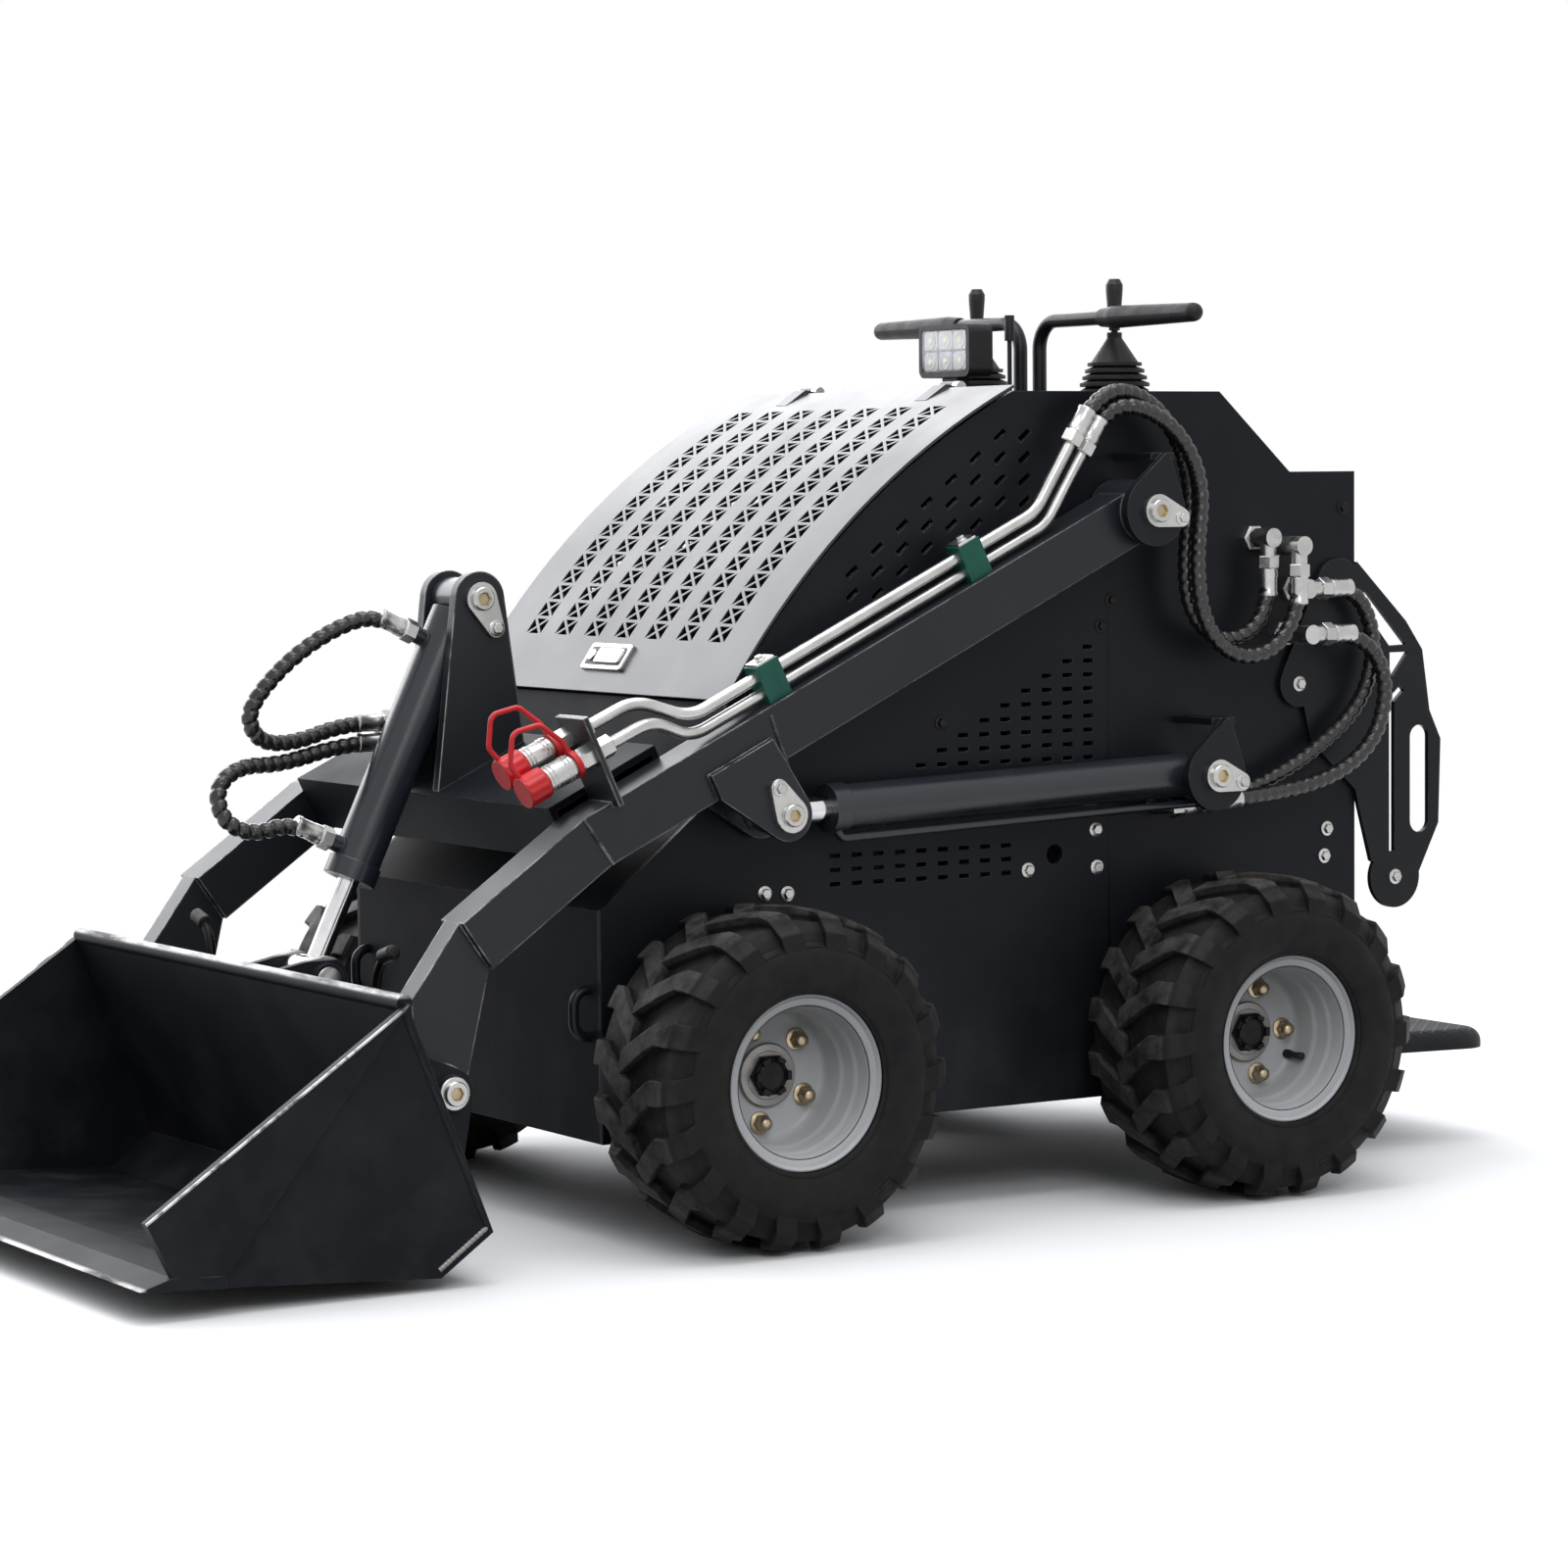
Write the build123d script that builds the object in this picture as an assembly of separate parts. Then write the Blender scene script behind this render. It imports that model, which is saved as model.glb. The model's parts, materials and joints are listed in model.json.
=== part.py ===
from build123d import *
import math
import os

# Compact stand-on skid steer loader, in millimetres.
# +X points to the bucket, +Y to the machine's left and +Z up.
# Lengths along X are given from the middle of the wheelbase. The finished pieces are moved
# so that the origin is under the middle of the whole machine, on the ground.

# Wheels
WHEELBASE = 800.0
TRACK = 970.0
TYRE_DIAMETER = 457.0
TYRE_WIDTH = 210.0
TREAD_WIDTH = 168.0
LUG_HEIGHT = 17.0
LUG_COUNT = 18
LUG_WIDTH = 32.0
LUG_SWEEP = 40.0
LUG_KNEE = 62.0
LUG_OVERLAP = 8.0
LUG_FOOT_RADIUS = 150.0
BEAD_BULGE = 8.0
SIDEWALL_RISE = 40.0
SHOULDER_DEPTH = 22.0
CROWN_DROP = 5.0
RIM_WIDTH = 184.0
RIM_SEAT_RADIUS = 101.0
RIM_FLANGE_RADIUS = 117.5
RIM_SHEET = 5.0
RIM_FLANGE_SHEET = 6.0
DISC_INSET = 122.0
SEAT_CLEARANCE = 0.3
HUB_RADIUS = 66.0
HUB_THICKNESS = 14.0
DISH_RADIUS = 78.0
DISH_RISE = 18.0
SHAFT_RADIUS = 20.0
SHAFT_END = 34.0
STUB_RADIUS = 44.0
STUB_FLANGE_RADIUS = 72.0
STUB_FLANGE = 16.0
AXLE_GAP = 5.0

# Body
BODY_WIDTH = 732.0
SIDE_SHEET = 8.0
TUB_SHEET = 6.0
PANEL_SHEET = 4.0
BODY_BOTTOM = 137.0
BODY_FRONT = 590.0
BODY_REAR = -686.0
COWL_FRONT_HEIGHT = 450.0
COWL_REAR = (430.0, 580.0)
HOOD_FOOT = (390.0, 719.0)
HOOD_TOP = -80.0
HOOD_RADIUS = 1155.0
HOOD_GAP = 5.0
HOOD_OVERHANG = 6.0
CONSOLE_HEIGHT = 1141.0
CONSOLE_REAR = -439.0
DECK_FRONT = -566.0
DECK_HEIGHT = 1025.0

# Hood grille and latch
GRILLE_COLUMNS = 7
GRILLE_ROWS = 16
GRILLE_SPAN = 526.0
GRILLE_CELL = (44.0, 31.0)
GRILLE_WEB = 5.0
GRILLE_START = 72.0
LATCH_WIDTH = 66.0
LATCH_LENGTH = 34.0
LATCH_RISE = 5.0
LATCH_RIM = 6.0
LATCH_DEPTH = 3.0
LATCH_PLACE = 585.0

# Vents in the side plates
SLANT_VENT = (22.0, 8.0)
SLANT_VENT_TURN = -40.0
SLANT_VENT_START = (-98.0, 1110.0)
SLANT_VENT_PITCH = (41.0, 31.0)
SLANT_VENT_ROWS = 9
VENT_MARGIN = 42.0
FLAT_VENT = (17.0, 6.0)
FLAT_VENT_START = (-205.0, 780.0)
FLAT_VENT_PITCH = (35.5, 19.6)
FLAT_VENT_ROWS = 9
LOW_VENT_START = (-63.0, 505.0)
LOW_VENT_COLUMNS = 9
LOW_VENT_ROWS = 3
ACCESS_HOLE = (-146.0, 488.0)
ACCESS_HOLE_RADIUS = 14.0

# Hood hinges
HINGE_BACK = 10.0
HINGE_RISE = 9.0
HINGE_RADIUS = 8.0
HINGE_PIN_RADIUS = 4.0
HINGE_OFFSET = 190.0
HINGE_KNUCKLE = 30.0
HINGE_CLEARANCE = 1.0
HINGE_LEAF = 5.0
HINGE_LEAF_LENGTH = 40.0

# Engine and hydraulic tank
ENGINE_SIZE = (350.0, 360.0, 360.0)
ENGINE_CENTRE_X = 150.0
ENGINE_BED_HEIGHT = 300.0
ENGINE_BED_SHEET = 8.0
TANK_SIZE = (280.0, 460.0, 420.0)
TANK_CENTRE_X = -500.0

# Lift arms
ARM_PIVOT = (-250.0, 972.0)
ARM_ELBOW = (635.0, 550.0)
ARM_KNEE = (814.0, 424.0)
BUCKET_PIVOT = (864.0, 240.0)
ARM_DEPTH = 75.0
ARM_INNER = 383.0
ARM_WIDTH = 62.0
ARM_GUSSET = 10.0
ARM_END_SHEET = 40.0
ARM_NOSE = (906.0, 358.0)
ARM_BOSS_RADIUS = 44.0
ARM_BOSS_GAP = 5.0
ARM_END_RADIUS = 34.0
LIFT_ROD_PIN = (348.0, 572.0)
GUSSET_RADIUS = 36.0
GUSSET_REAR = 372.0
GUSSET_FRONT = 468.0
PIVOT_PIN_RADIUS = 17.5
PIN_RADIUS = 15.0
PIN_CLEARANCE = 0.3
PIN_HEAD = 8.0
PIN_HEAD_RADIUS = 23.0

# Brackets of the arm pivots and the lift cylinders
BRACKET_SHEET = 12.0
BRACKET_GAP = 3.0
BRACKET_RADIUS = 50.0
BRACKET_APEX = (-20.0, 76.0)
BRACKET_FLANGE = 10.0
BRACKET_FLANGE_LENGTH = 40.0
KEEPER_REACH = (-39.0, -10.0)
KEEPER_RADIUS = 13.0
LIFT_BASE_PIN = (-355.0, 596.0)

# Cross beam and tilt tower
BEAM_REAR = 490.0
BEAM_FRONT = 652.0
BEAM_RISE = 18.0
BEAM_DEPTH = 78.0
BEAM_SHEET = 10.0
TOWER_PIN = (600.0, 860.0)
TOWER_GAP = 76.0
TOWER_SHEET = 16.0
TOWER_RADIUS = 38.0
TOWER_FOOT = (510.0, 645.0)
TOWER_KEEPER_REACH = (-21.0, -41.0)

# Cylinders
LIFT_BARREL_RADIUS = 31.0
LIFT_BARREL_START = 22.0
LIFT_ROD_SHOW = 54.0
LIFT_ROD_RADIUS = 17.0
LIFT_ROD_INSIDE = 480.0
TILT_BARREL_RADIUS = 34.0
TILT_BARREL_START = 24.0
TILT_ROD_SHOW = 114.0
TILT_ROD_RADIUS = 15.0
TILT_ROD_INSIDE = 260.0
TILT_ROD_PIN = (842.0, 347.0)
EYE_RADIUS = 29.0
EYE_GAP = 2.0
GLAND_LENGTH = 26.0
GLAND_RISE = 3.0
TILT_PORTS = (75.0, 385.0)
TILT_PORT_RADIUS = 12.0
TILT_PORT_REACH = 30.0
LINE_RADIUS = 6.0
LINE_OFFSET = 9.0
LINE_DROP = 10.0
LINE_REAR = -31.0
LINE_NUT_RADIUS = 11.0
BASE_PORT_RADIUS = 9.0
BASE_PORT_OFFSET = -14.0
BASE_PORT_DROP = 15.0
BASE_PORT_START = 70.0
BASE_PORT_END = 20.0

# Bucket
BUCKET_WIDTH = 1080.0
BUCKET_SHEET = 8.0
BUCKET_LIP = (1333.0, 42.0)
BUCKET_FLOOR = (918.0, 16.0)
BUCKET_HEEL = (843.0, 68.0)
BUCKET_TOP = (960.0, 368.0)
BUCKET_CHEEK = (1322.0, 124.0)
EDGE_DEPTH = 116.0
EDGE_SHEET = 16.0
EDGE_BEVEL = 44.0
TOP_BAR_RADIUS = 11.0
HITCH_SHEET = 20.0
HITCH_LOW = 0.12
HITCH_HIGH = 0.96
EAR_SHEET = 14.0
EAR_GAP = 3.0
EAR_RADIUS = 32.0
PIVOT_EAR_SHARE = 0.8
ROD_EAR_SHARE = 0.45
SIDE_STRIP = 8.0

# Rear guards and step
GUARD_SHEET = 8.0
GUARD_BOLTS = ((-652.0, 856.0), (-577.0, 716.0), (-756.0, 424.0))
GUARD_LOBES = (42.0, 34.0, 46.0)
GUARD_OUTER = (
    (-685.0, 892.0), (-777.0, 803.0), (-808.0, 760.0), (-822.0, 669.0),
    (-843.0, 626.0), (-839.0, 501.0), (-802.0, 430.0),
)
GUARD_INNER = ((-711.0, 450.0), (-681.0, 557.0), (-601.0, 629.0))
GUARD_WINDOW = ((-699.0, 852.0), (-777.0, 768.0), (-745.0, 767.0), (-692.0, 829.0))
GUARD_INNER_WINDOW = ((-704.0, 782.0), (-732.0, 757.0), (-732.0, 722.0), (-712.0, 745.0))
GUARD_REAR_WINDOW = ((-746.0, 757.0), (-781.0, 757.0), (-753.0, 722.0), (-746.0, 727.0))
GUARD_SLOT = (
    (-755.0, 462.0), (-745.0, 462.0), (-745.0, 690.0), (-766.0, 708.0), (-773.0, 700.0), (-755.0, 684.0),
)
GUARD_REAR = -802.0
HAND_HOLE_LENGTH = 160.0
HAND_HOLE_WIDTH = 35.0
HAND_HOLE_HEIGHT = 568.0
STEP_REAR = -1015.0
STEP_HEIGHT = 172.0
STEP_SHEET = 30.0
STEP_REAR_WIDTH = 600.0
STEP_FRONT_WIDTH = 500.0
STEP_CORNER = 45.0
STEP_NOSE = 22.0

# Controls
BAR_RADIUS = 10.5
BAR_X = -362.0
BAR_RISE = 111.0
BAR_POST_SPACING = 50.0
BAR_WIDTH = 810.0
BAR_BEND = 42.0
GRIP_LENGTH = 218.0
GRIP_SHEET = 3.0
GRIP_BULGE = 6.0
GRIP_BULGE_START = 32.0
STICK_X = -388.0
STICK_SPACING = 360.0
STICK_RADIUS = 5.0
STICK_RISE = 168.0
KNOB_LENGTH = 75.0
KNOB_RADIUS = 12.5
KNOB_FOOT_RADIUS = 8.0
KNOB_CROWN = 16.0
BOOT_RADIUS = 50.0
BOOT_CONE_RADIUS = 35.0
BOOT_NECK_RADIUS = 11.0
BOOT_CAP = 8.0
BOOT_HEIGHT = 90.0
BOOT_BASE = 6.0
BOOT_BELLOWS = 46.0
BOOT_FOLDS = 4
BOOT_FOLD = 10.0
THROTTLE_X = -325.0
THROTTLE_RISE = 121.0
THROTTLE_RADIUS = 3.5
THROTTLE_KNOB_RADIUS = 7.5
THROTTLE_KNOB_LENGTH = 38.0
LAMP_X = -228.0
LAMP_SIZE = (42.0, 134.0, 78.0)
LAMP_LIFT = 28.0
LAMP_FOOT_WIDTH = 40.0
LAMP_CORNER = 13.0
LAMP_RIM = 8.0
LAMP_RECESS = 6.0

# Fittings
ARM_PORTS = ((-496.0, 930.0), (-530.0, 918.0))
ARM_PORT_REACH = (40.0, 68.0)
LIFT_PORTS = ((-566.0, 855.0), (-550.0, 790.0))
LIFT_PORT_REACH = (34.0, 62.0)
PORT_RADIUS = 14.0
PORT_LEG = 42.0
PORT_LEG_RADIUS = 12.0
LOOP_Y = 330.0
LOOP_LOW = 279.0
LOOP_HIGH = 342.0
LOOP_REACH = 22.0
LOOP_RADIUS = 7.0
LOOP_BEND = 21.0

# Pipes and couplers on the left arm
PIPE_RADIUS = 8.5
PIPE_PITCH = 24.0
PIPE_LIFT = 24.5
PIPE_OFFSET = 6.0
PIPE_START = -112.0
PIPE_TAIL = (-70.0, 110.0)
PIPE_TROUGH = 452.0
PIPE_HUMP = (74.0, 24.0)
PIPE_NOSE = (88.0, -40.0)
PIPE_SPREAD = 20.0
PIPE_BEND = 60.0
CLAMP_PLACES = (5.0, 331.0)
CLAMP_LENGTH = 34.0
CLAMP_WIDTH = 32.0
CLAMP_HEIGHT = 53.0
COUPLER_SHEET = 8.0
COUPLER_FOOT = 86.0
COUPLER_TOP = 42.0
COUPLER_INNER = 34.0
COUPLER_OUTER = 42.0
COUPLER_NUT_RADIUS = 17.0
COUPLER_NUT = 18.0
COUPLER_STEPS = ((15.0, 34.0), (18.0, 74.0), (15.0, 96.0))
CAP_RADIUS = 21.0
CAP_START = 76.0
CAP_END = 110.0
STRAP_RADIUS = 3.5
STRAP_BEND = 14.0
STRAP_ROUTE = ((12.0, 102.0), (40.0, 112.0), (78.0, 90.0), (70.0, 50.0), (36.0, 30.0), (17.0, 26.0))
STRAP_RING = (22.0, 30.0)
STRAP_RING_RADIUS = 19.0
TOWER_PORTS = ((630.0, 688.0), (630.0, 660.0))
TOWER_PORT_OUT = 16.0
TOWER_PORT_LEG = 60.0
TOWER_PORT_RADIUS = 11.0

# Hoses, each given by the (x, y, z) corners of its route between its fittings
HOSE_RADIUS = 11.0
HOSE_RUN = 55.0
TILT_HOSE_RUN = 47.5
LIFT_HOSE_RUN = 40.0
BASE_HOSE_RUN = 66.0
LINE_HOSE_RUN = 90.0
BEND_SHARE = 0.45
ARM_HOSE_UPPER = (
    (-240.0, 412.0, 1146.0), (-318.0, 406.0, 1104.0), (-362.0, 406.0, 1012.0), (-346.0, 406.0, 908.0),
    (-352.0, 406.0, 832.0), (-398.0, 406.0, 784.0), (-458.0, 406.0, 788.0),
)
ARM_HOSE_LOWER = (
    (-248.0, 428.0, 1122.0), (-316.0, 434.0, 1086.0), (-360.0, 434.0, 1008.0), (-346.0, 434.0, 908.0),
    (-356.0, 434.0, 816.0), (-404.0, 434.0, 762.0), (-478.0, 434.0, 762.0),
)
LIFT_HOSE_BASE = (
    (-683.0, 400.0, 822.0), (-697.0, 400.0, 760.0), (-672.0, 400.0, 684.0), (-590.0, 400.0, 622.0),
    (-490.0, 400.0, 574.0),
)
LIFT_HOSE_ROD = (
    (-682.0, 428.0, 757.0), (-697.0, 428.0, 696.0), (-672.0, 428.0, 628.0), (-600.0, 426.0, 580.0),
)
TILT_HOSE_BASE = (
    (786.0, -6.0, 826.0), (846.0, -16.0, 790.0), (892.0, -28.0, 744.0), (914.0, -36.0, 704.0),
    (892.0, -44.0, 668.0), (834.0, -56.0, 664.0),
)
TILT_HOSE_ROD = (
    (922.0, -8.0, 544.0), (962.0, -16.0, 566.0), (966.0, -26.0, 610.0), (926.0, -36.0, 638.0),
    (856.0, -50.0, 636.0),
)

# Values that follow from the ones above
WHEEL_RADIUS = TYRE_DIAMETER / 2
WHEEL_Y = TRACK / 2
BODY_SIDE = BODY_WIDTH / 2
BODY_INSIDE = BODY_SIDE - SIDE_SHEET
ARM_OUTER = ARM_INNER + ARM_WIDTH
ARM_MIDDLE = ARM_INNER + ARM_WIDTH / 2
GUSSET_OUTER = ARM_OUTER + ARM_GUSSET
CHEEK_INNER = GUSSET_OUTER + BRACKET_GAP
CHEEK_OUTER = CHEEK_INNER + BRACKET_SHEET
BUCKET_SIDE = BUCKET_WIDTH / 2
PLATE_SIDE = BUCKET_SIDE - SIDE_STRIP
SHELL_SIDE = PLATE_SIDE - BUCKET_SHEET
TOWER_OUTER = TOWER_GAP / 2 + TOWER_SHEET
PIPE_Y = ARM_MIDDLE + PIPE_OFFSET
STICK_Y = STICK_SPACING / 2
STICK_HEIGHT = CONSOLE_HEIGHT + STICK_RISE
BAR_HEIGHT = CONSOLE_HEIGHT + BAR_RISE
THROTTLE_HEIGHT = CONSOLE_HEIGHT + THROTTLE_RISE
ORIGIN_X = (BUCKET_LIP[0] + STEP_REAR) / 2


def unit(start, end):
    """Direction from one (x, z) point to another."""
    dx, dz = end[0] - start[0], end[1] - start[1]
    length = math.hypot(dx, dz)
    return dx / length, dz / length


def along(start, end, distance, side=0.0):
    """The point a distance along a line, moved to its left by side."""
    ux, uz = unit(start, end)
    return start[0] + ux * distance - uz * side, start[1] + uz * distance + ux * side


def between(start, end, share):
    """The point at a share of the way between two points."""
    return start[0] + (end[0] - start[0]) * share, start[1] + (end[1] - start[1]) * share


def moved(point, step):
    """A point moved by an (x, z) step."""
    return point[0] + step[0], point[1] + step[1]


def shifted(points, side):
    """A bent line moved to its left by side, with mitred corners."""
    line = [along(points[0], points[1], 0, side)]
    for before, corner, after in zip(points, points[1:], points[2:]):
        ux, uz = unit(before, corner)
        vx, vz = unit(corner, after)
        reach = side / (1 + ux * vx + uz * vz)
        line.append((corner[0] - (uz + vz) * reach, corner[1] + (ux + vx) * reach))
    line.append(along(points[-1], points[-2], 0, -side))
    return line


def outline(points):
    """A closed face through (x, z) points."""
    return make_face(Polyline(*points, close=True))


def sheet(points, thickness):
    """The section of a sheet bent along points, thickened to the left."""
    return outline(list(points) + shifted(points, thickness)[::-1])


def disc(centre, radius):
    """A round face about an (x, z) point."""
    return Pos(*centre) * Circle(radius)


def hull(*faces):
    """The face that a band round several faces would enclose."""
    return make_hull([edge for face in faces for edge in face.edges()])


def upright(face, low, high):
    """Extrude an (x, z) face between two y planes."""
    plane = Plane(origin=(0, high, 0), x_dir=(1, 0, 0), z_dir=(0, -1, 0))
    return extrude(plane * face, amount=high - low)


def bar(centre, radius, low, high):
    """A round bar along Y."""
    return upright(disc(centre, radius), low, high)


def block(low, high):
    """A box between two corners."""
    size = [b - a for a, b in zip(low, high)]
    middle = [(a + b) / 2 for a, b in zip(low, high)]
    return Pos(*middle) * Box(*size)


def both_sides(shape):
    """A left piece and its mirror image."""
    return shape + mirror(shape, about=Plane.XZ)


def tube(points, radius, bend):
    """A round bar along bent points."""
    path = FilletPolyline(*points, radius=bend)
    start = Plane(origin=path @ 0, z_dir=path % 0)
    return sweep(start * Circle(radius), path=path)


def rod(start, end, radius):
    """A straight round bar between two (x, y, z) points."""
    plane = Plane(origin=start, z_dir=Vector(*end) - Vector(*start))
    return extrude(plane * Circle(radius), amount=math.dist(start, end))


# Wheels

def mirrored(side):
    """A section's closed outline from one half, given as (radius, y) points."""
    return outline(side + [(radius, -y) for radius, y in reversed(side)])


def tread_lug():
    """One lug of the left row: slanted from the middle to a knee, then straight over the shoulder."""
    half = TYRE_WIDTH / 2
    start = LUG_SWEEP * LUG_OVERLAP / LUG_KNEE
    line = [(start, -LUG_OVERLAP), (-LUG_SWEEP, LUG_KNEE), (-LUG_SWEEP, half)]
    front = [(x + LUG_WIDTH / 2, y) for x, y in line]
    back = [(x - LUG_WIDTH / 2, y) for x, y in line]
    foot = Pos(0, 0, LUG_FOOT_RADIUS) * outline(front + back[::-1])
    prism = extrude(foot, amount=WHEEL_RADIUS - LUG_FOOT_RADIUS)
    shoulder = WHEEL_RADIUS - LUG_HEIGHT - SHOULDER_DEPTH / 2
    tips = [(LUG_FOOT_RADIUS, half), (shoulder, half), (WHEEL_RADIUS - CROWN_DROP, TREAD_WIDTH / 2)]
    tips += [(WHEEL_RADIUS, TREAD_WIDTH / 4)]
    return prism & revolve(mirrored(tips), axis=Axis.Y)


def tyre():
    """A tyre about the Y axis, with two staggered rows of slanted lugs."""
    half = TYRE_WIDTH / 2
    bead = RIM_WIDTH / 2 - RIM_FLANGE_SHEET - SEAT_CLEARANCE
    seat = RIM_SEAT_RADIUS + SEAT_CLEARANCE
    lip = RIM_FLANGE_RADIUS + SEAT_CLEARANCE
    root = WHEEL_RADIUS - LUG_HEIGHT
    side = [(seat, bead), (lip, bead), (lip + BEAD_BULGE, half - BEAD_BULGE), (lip + SIDEWALL_RISE, half)]
    side += [(root - SHOULDER_DEPTH, half - BEAD_BULGE), (root, TREAD_WIDTH / 2)]
    carcass = revolve(mirrored(side), axis=Axis.Y)
    step = 360 / LUG_COUNT
    left = tread_lug()
    right = Rot(0, step / 2, 0) * mirror(left, about=Plane.XZ)
    turns = [Rot(0, step * number, 0) for number in range(LUG_COUNT)]
    return carcass + [turn * lug for turn in turns for lug in (left, right)]


def rim():
    """A dished rim with its hub and drive shaft, outer side towards +Y."""
    half = RIM_WIDTH / 2
    inside = RIM_SEAT_RADIUS - RIM_SHEET
    disc_y = half - DISC_INSET
    flange = half - RIM_FLANGE_SHEET
    lip = RIM_FLANGE_RADIUS - RIM_SHEET
    barrel = [(inside, flange), (lip, half), (RIM_FLANGE_RADIUS, half), (RIM_FLANGE_RADIUS, flange)]
    barrel += [(RIM_SEAT_RADIUS, flange)]
    rise = disc_y + DISH_RISE
    wall = [
        (SHAFT_RADIUS, disc_y - RIM_SHEET), (DISH_RADIUS, disc_y - RIM_SHEET),
        (RIM_SEAT_RADIUS, rise - RIM_SHEET), (RIM_SEAT_RADIUS, rise), (inside, rise),
        (DISH_RADIUS, disc_y), (SHAFT_RADIUS, disc_y),
    ]
    back = disc_y - RIM_SHEET - HUB_THICKNESS
    shaft_start = BODY_SIDE + STUB_FLANGE - WHEEL_Y
    hub = [(0, shaft_start), (SHAFT_RADIUS, shaft_start), (SHAFT_RADIUS, back), (HUB_RADIUS, back)]
    hub += [(HUB_RADIUS, disc_y - RIM_SHEET), (SHAFT_RADIUS, disc_y - RIM_SHEET)]
    hub += [(SHAFT_RADIUS, disc_y + SHAFT_END), (0, disc_y + SHAFT_END)]
    dish = revolve(mirrored(barrel), axis=Axis.Y)
    return dish + revolve(outline(wall), axis=Axis.Y) + revolve(outline(hub), axis=Axis.Y)


def axle_stubs():
    """The four fixed axle housings, each with the bore that carries a wheel's shaft."""
    end = WHEEL_Y + RIM_WIDTH / 2 - DISC_INSET - RIM_SHEET - HUB_THICKNESS - AXLE_GAP
    start = BODY_SIDE + STUB_FLANGE
    bore = SHAFT_RADIUS + PIN_CLEARANCE
    stubs = []
    for x in (-WHEELBASE / 2, WHEELBASE / 2):
        centre = (x, WHEEL_RADIUS)
        flange = bar(centre, STUB_FLANGE_RADIUS, BODY_SIDE, start)
        housing = bar(centre, STUB_RADIUS, start, end) - bar(centre, bore, start, end)
        stubs.append(both_sides(flange + housing))
    return stubs[0] + stubs[1]


# Body

def hood_centre():
    """Centre of the hood's arc, with the angles of its top and foot."""
    top = (HOOD_TOP, CONSOLE_HEIGHT)
    half = math.dist(top, HOOD_FOOT) / 2
    centre = along(top, HOOD_FOOT, half, -math.sqrt(HOOD_RADIUS ** 2 - half ** 2))
    angles = [math.atan2(p[1] - centre[1], p[0] - centre[0]) for p in (top, HOOD_FOOT)]
    return centre, angles[0], angles[1]


def hood_point(angle, rise):
    """A point at an angle about the hood's centre, rise above the side plates' edge."""
    centre = hood_centre()[0]
    radius = HOOD_RADIUS + rise
    return centre[0] + radius * math.cos(angle), centre[1] + radius * math.sin(angle)


def hinge_axis():
    """Where the hood turns, above the front edge of the console."""
    return HOOD_TOP - HINGE_BACK, CONSOLE_HEIGHT + HINGE_RISE


def vent_places():
    """Middles of the slanted and of the level vents, as (x, z) points."""
    centre = hood_centre()[0]
    slanted, level = [], []
    for row in range(SLANT_VENT_ROWS):
        for column in range(row + 1):
            x = SLANT_VENT_START[0] + SLANT_VENT_PITCH[0] * column
            z = SLANT_VENT_START[1] - SLANT_VENT_PITCH[1] * row
            above_arm = z - arm_line(x, ARM_DEPTH / 2)[1] > VENT_MARGIN
            if above_arm and math.dist((x, z), centre) < HOOD_RADIUS - VENT_MARGIN:
                slanted.append((x, z))
    for row in range(FLAT_VENT_ROWS):
        for column in range(row + 1):
            x = FLAT_VENT_START[0] + FLAT_VENT_PITCH[0] * column
            level.append((x, FLAT_VENT_START[1] - FLAT_VENT_PITCH[1] * row))
    for row in range(LOW_VENT_ROWS):
        for column in range(LOW_VENT_COLUMNS):
            x = LOW_VENT_START[0] + FLAT_VENT_PITCH[0] * column
            level.append((x, LOW_VENT_START[1] - FLAT_VENT_PITCH[1] * row))
    return slanted, level


def side_plates():
    """The two side plates of the body, with their cooling vents."""
    straight = [
        HOOD_FOOT, COWL_REAR, (BODY_FRONT, COWL_FRONT_HEIGHT), (BODY_FRONT, BODY_BOTTOM),
        (BODY_REAR, BODY_BOTTOM), (BODY_REAR, DECK_HEIGHT), (DECK_FRONT, DECK_HEIGHT),
        (CONSOLE_REAR, CONSOLE_HEIGHT), (HOOD_TOP, CONSOLE_HEIGHT),
    ]
    front = RadiusArc(straight[-1], straight[0], HOOD_RADIUS)
    plate = make_face([*Polyline(*straight).edges(), *front.edges()])
    slanted, level = vent_places()
    holes = [Pos(*place) * Rectangle(*SLANT_VENT, rotation=SLANT_VENT_TURN) for place in slanted]
    holes += [Pos(*place) * Rectangle(*FLAT_VENT) for place in level]
    holes += [disc(ACCESS_HOLE, ACCESS_HOLE_RADIUS)]
    return both_sides(upright(plate - holes, BODY_INSIDE, BODY_SIDE))


def chassis_tub():
    """Belly, front plate and cowl, bent from one sheet between the side plates."""
    line = [
        (BODY_REAR, BODY_BOTTOM), (BODY_FRONT, BODY_BOTTOM), (BODY_FRONT, COWL_FRONT_HEIGHT),
        COWL_REAR, HOOD_FOOT,
    ]
    return upright(sheet(line, TUB_SHEET), -BODY_INSIDE, BODY_INSIDE)


def rear_panel():
    """The upright panel behind the operator's knees."""
    low = (BODY_REAR, -BODY_INSIDE, BODY_BOTTOM + TUB_SHEET)
    return block(low, (BODY_REAR + PANEL_SHEET, BODY_INSIDE, DECK_HEIGHT - PANEL_SHEET))


def console_top():
    """The control deck: flat top, sloping back and lower rear shelf."""
    line = [
        (HOOD_TOP, CONSOLE_HEIGHT), (CONSOLE_REAR, CONSOLE_HEIGHT),
        (DECK_FRONT, DECK_HEIGHT), (BODY_REAR, DECK_HEIGHT),
    ]
    return upright(sheet(line, PANEL_SHEET), -BODY_INSIDE, BODY_INSIDE)


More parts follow.
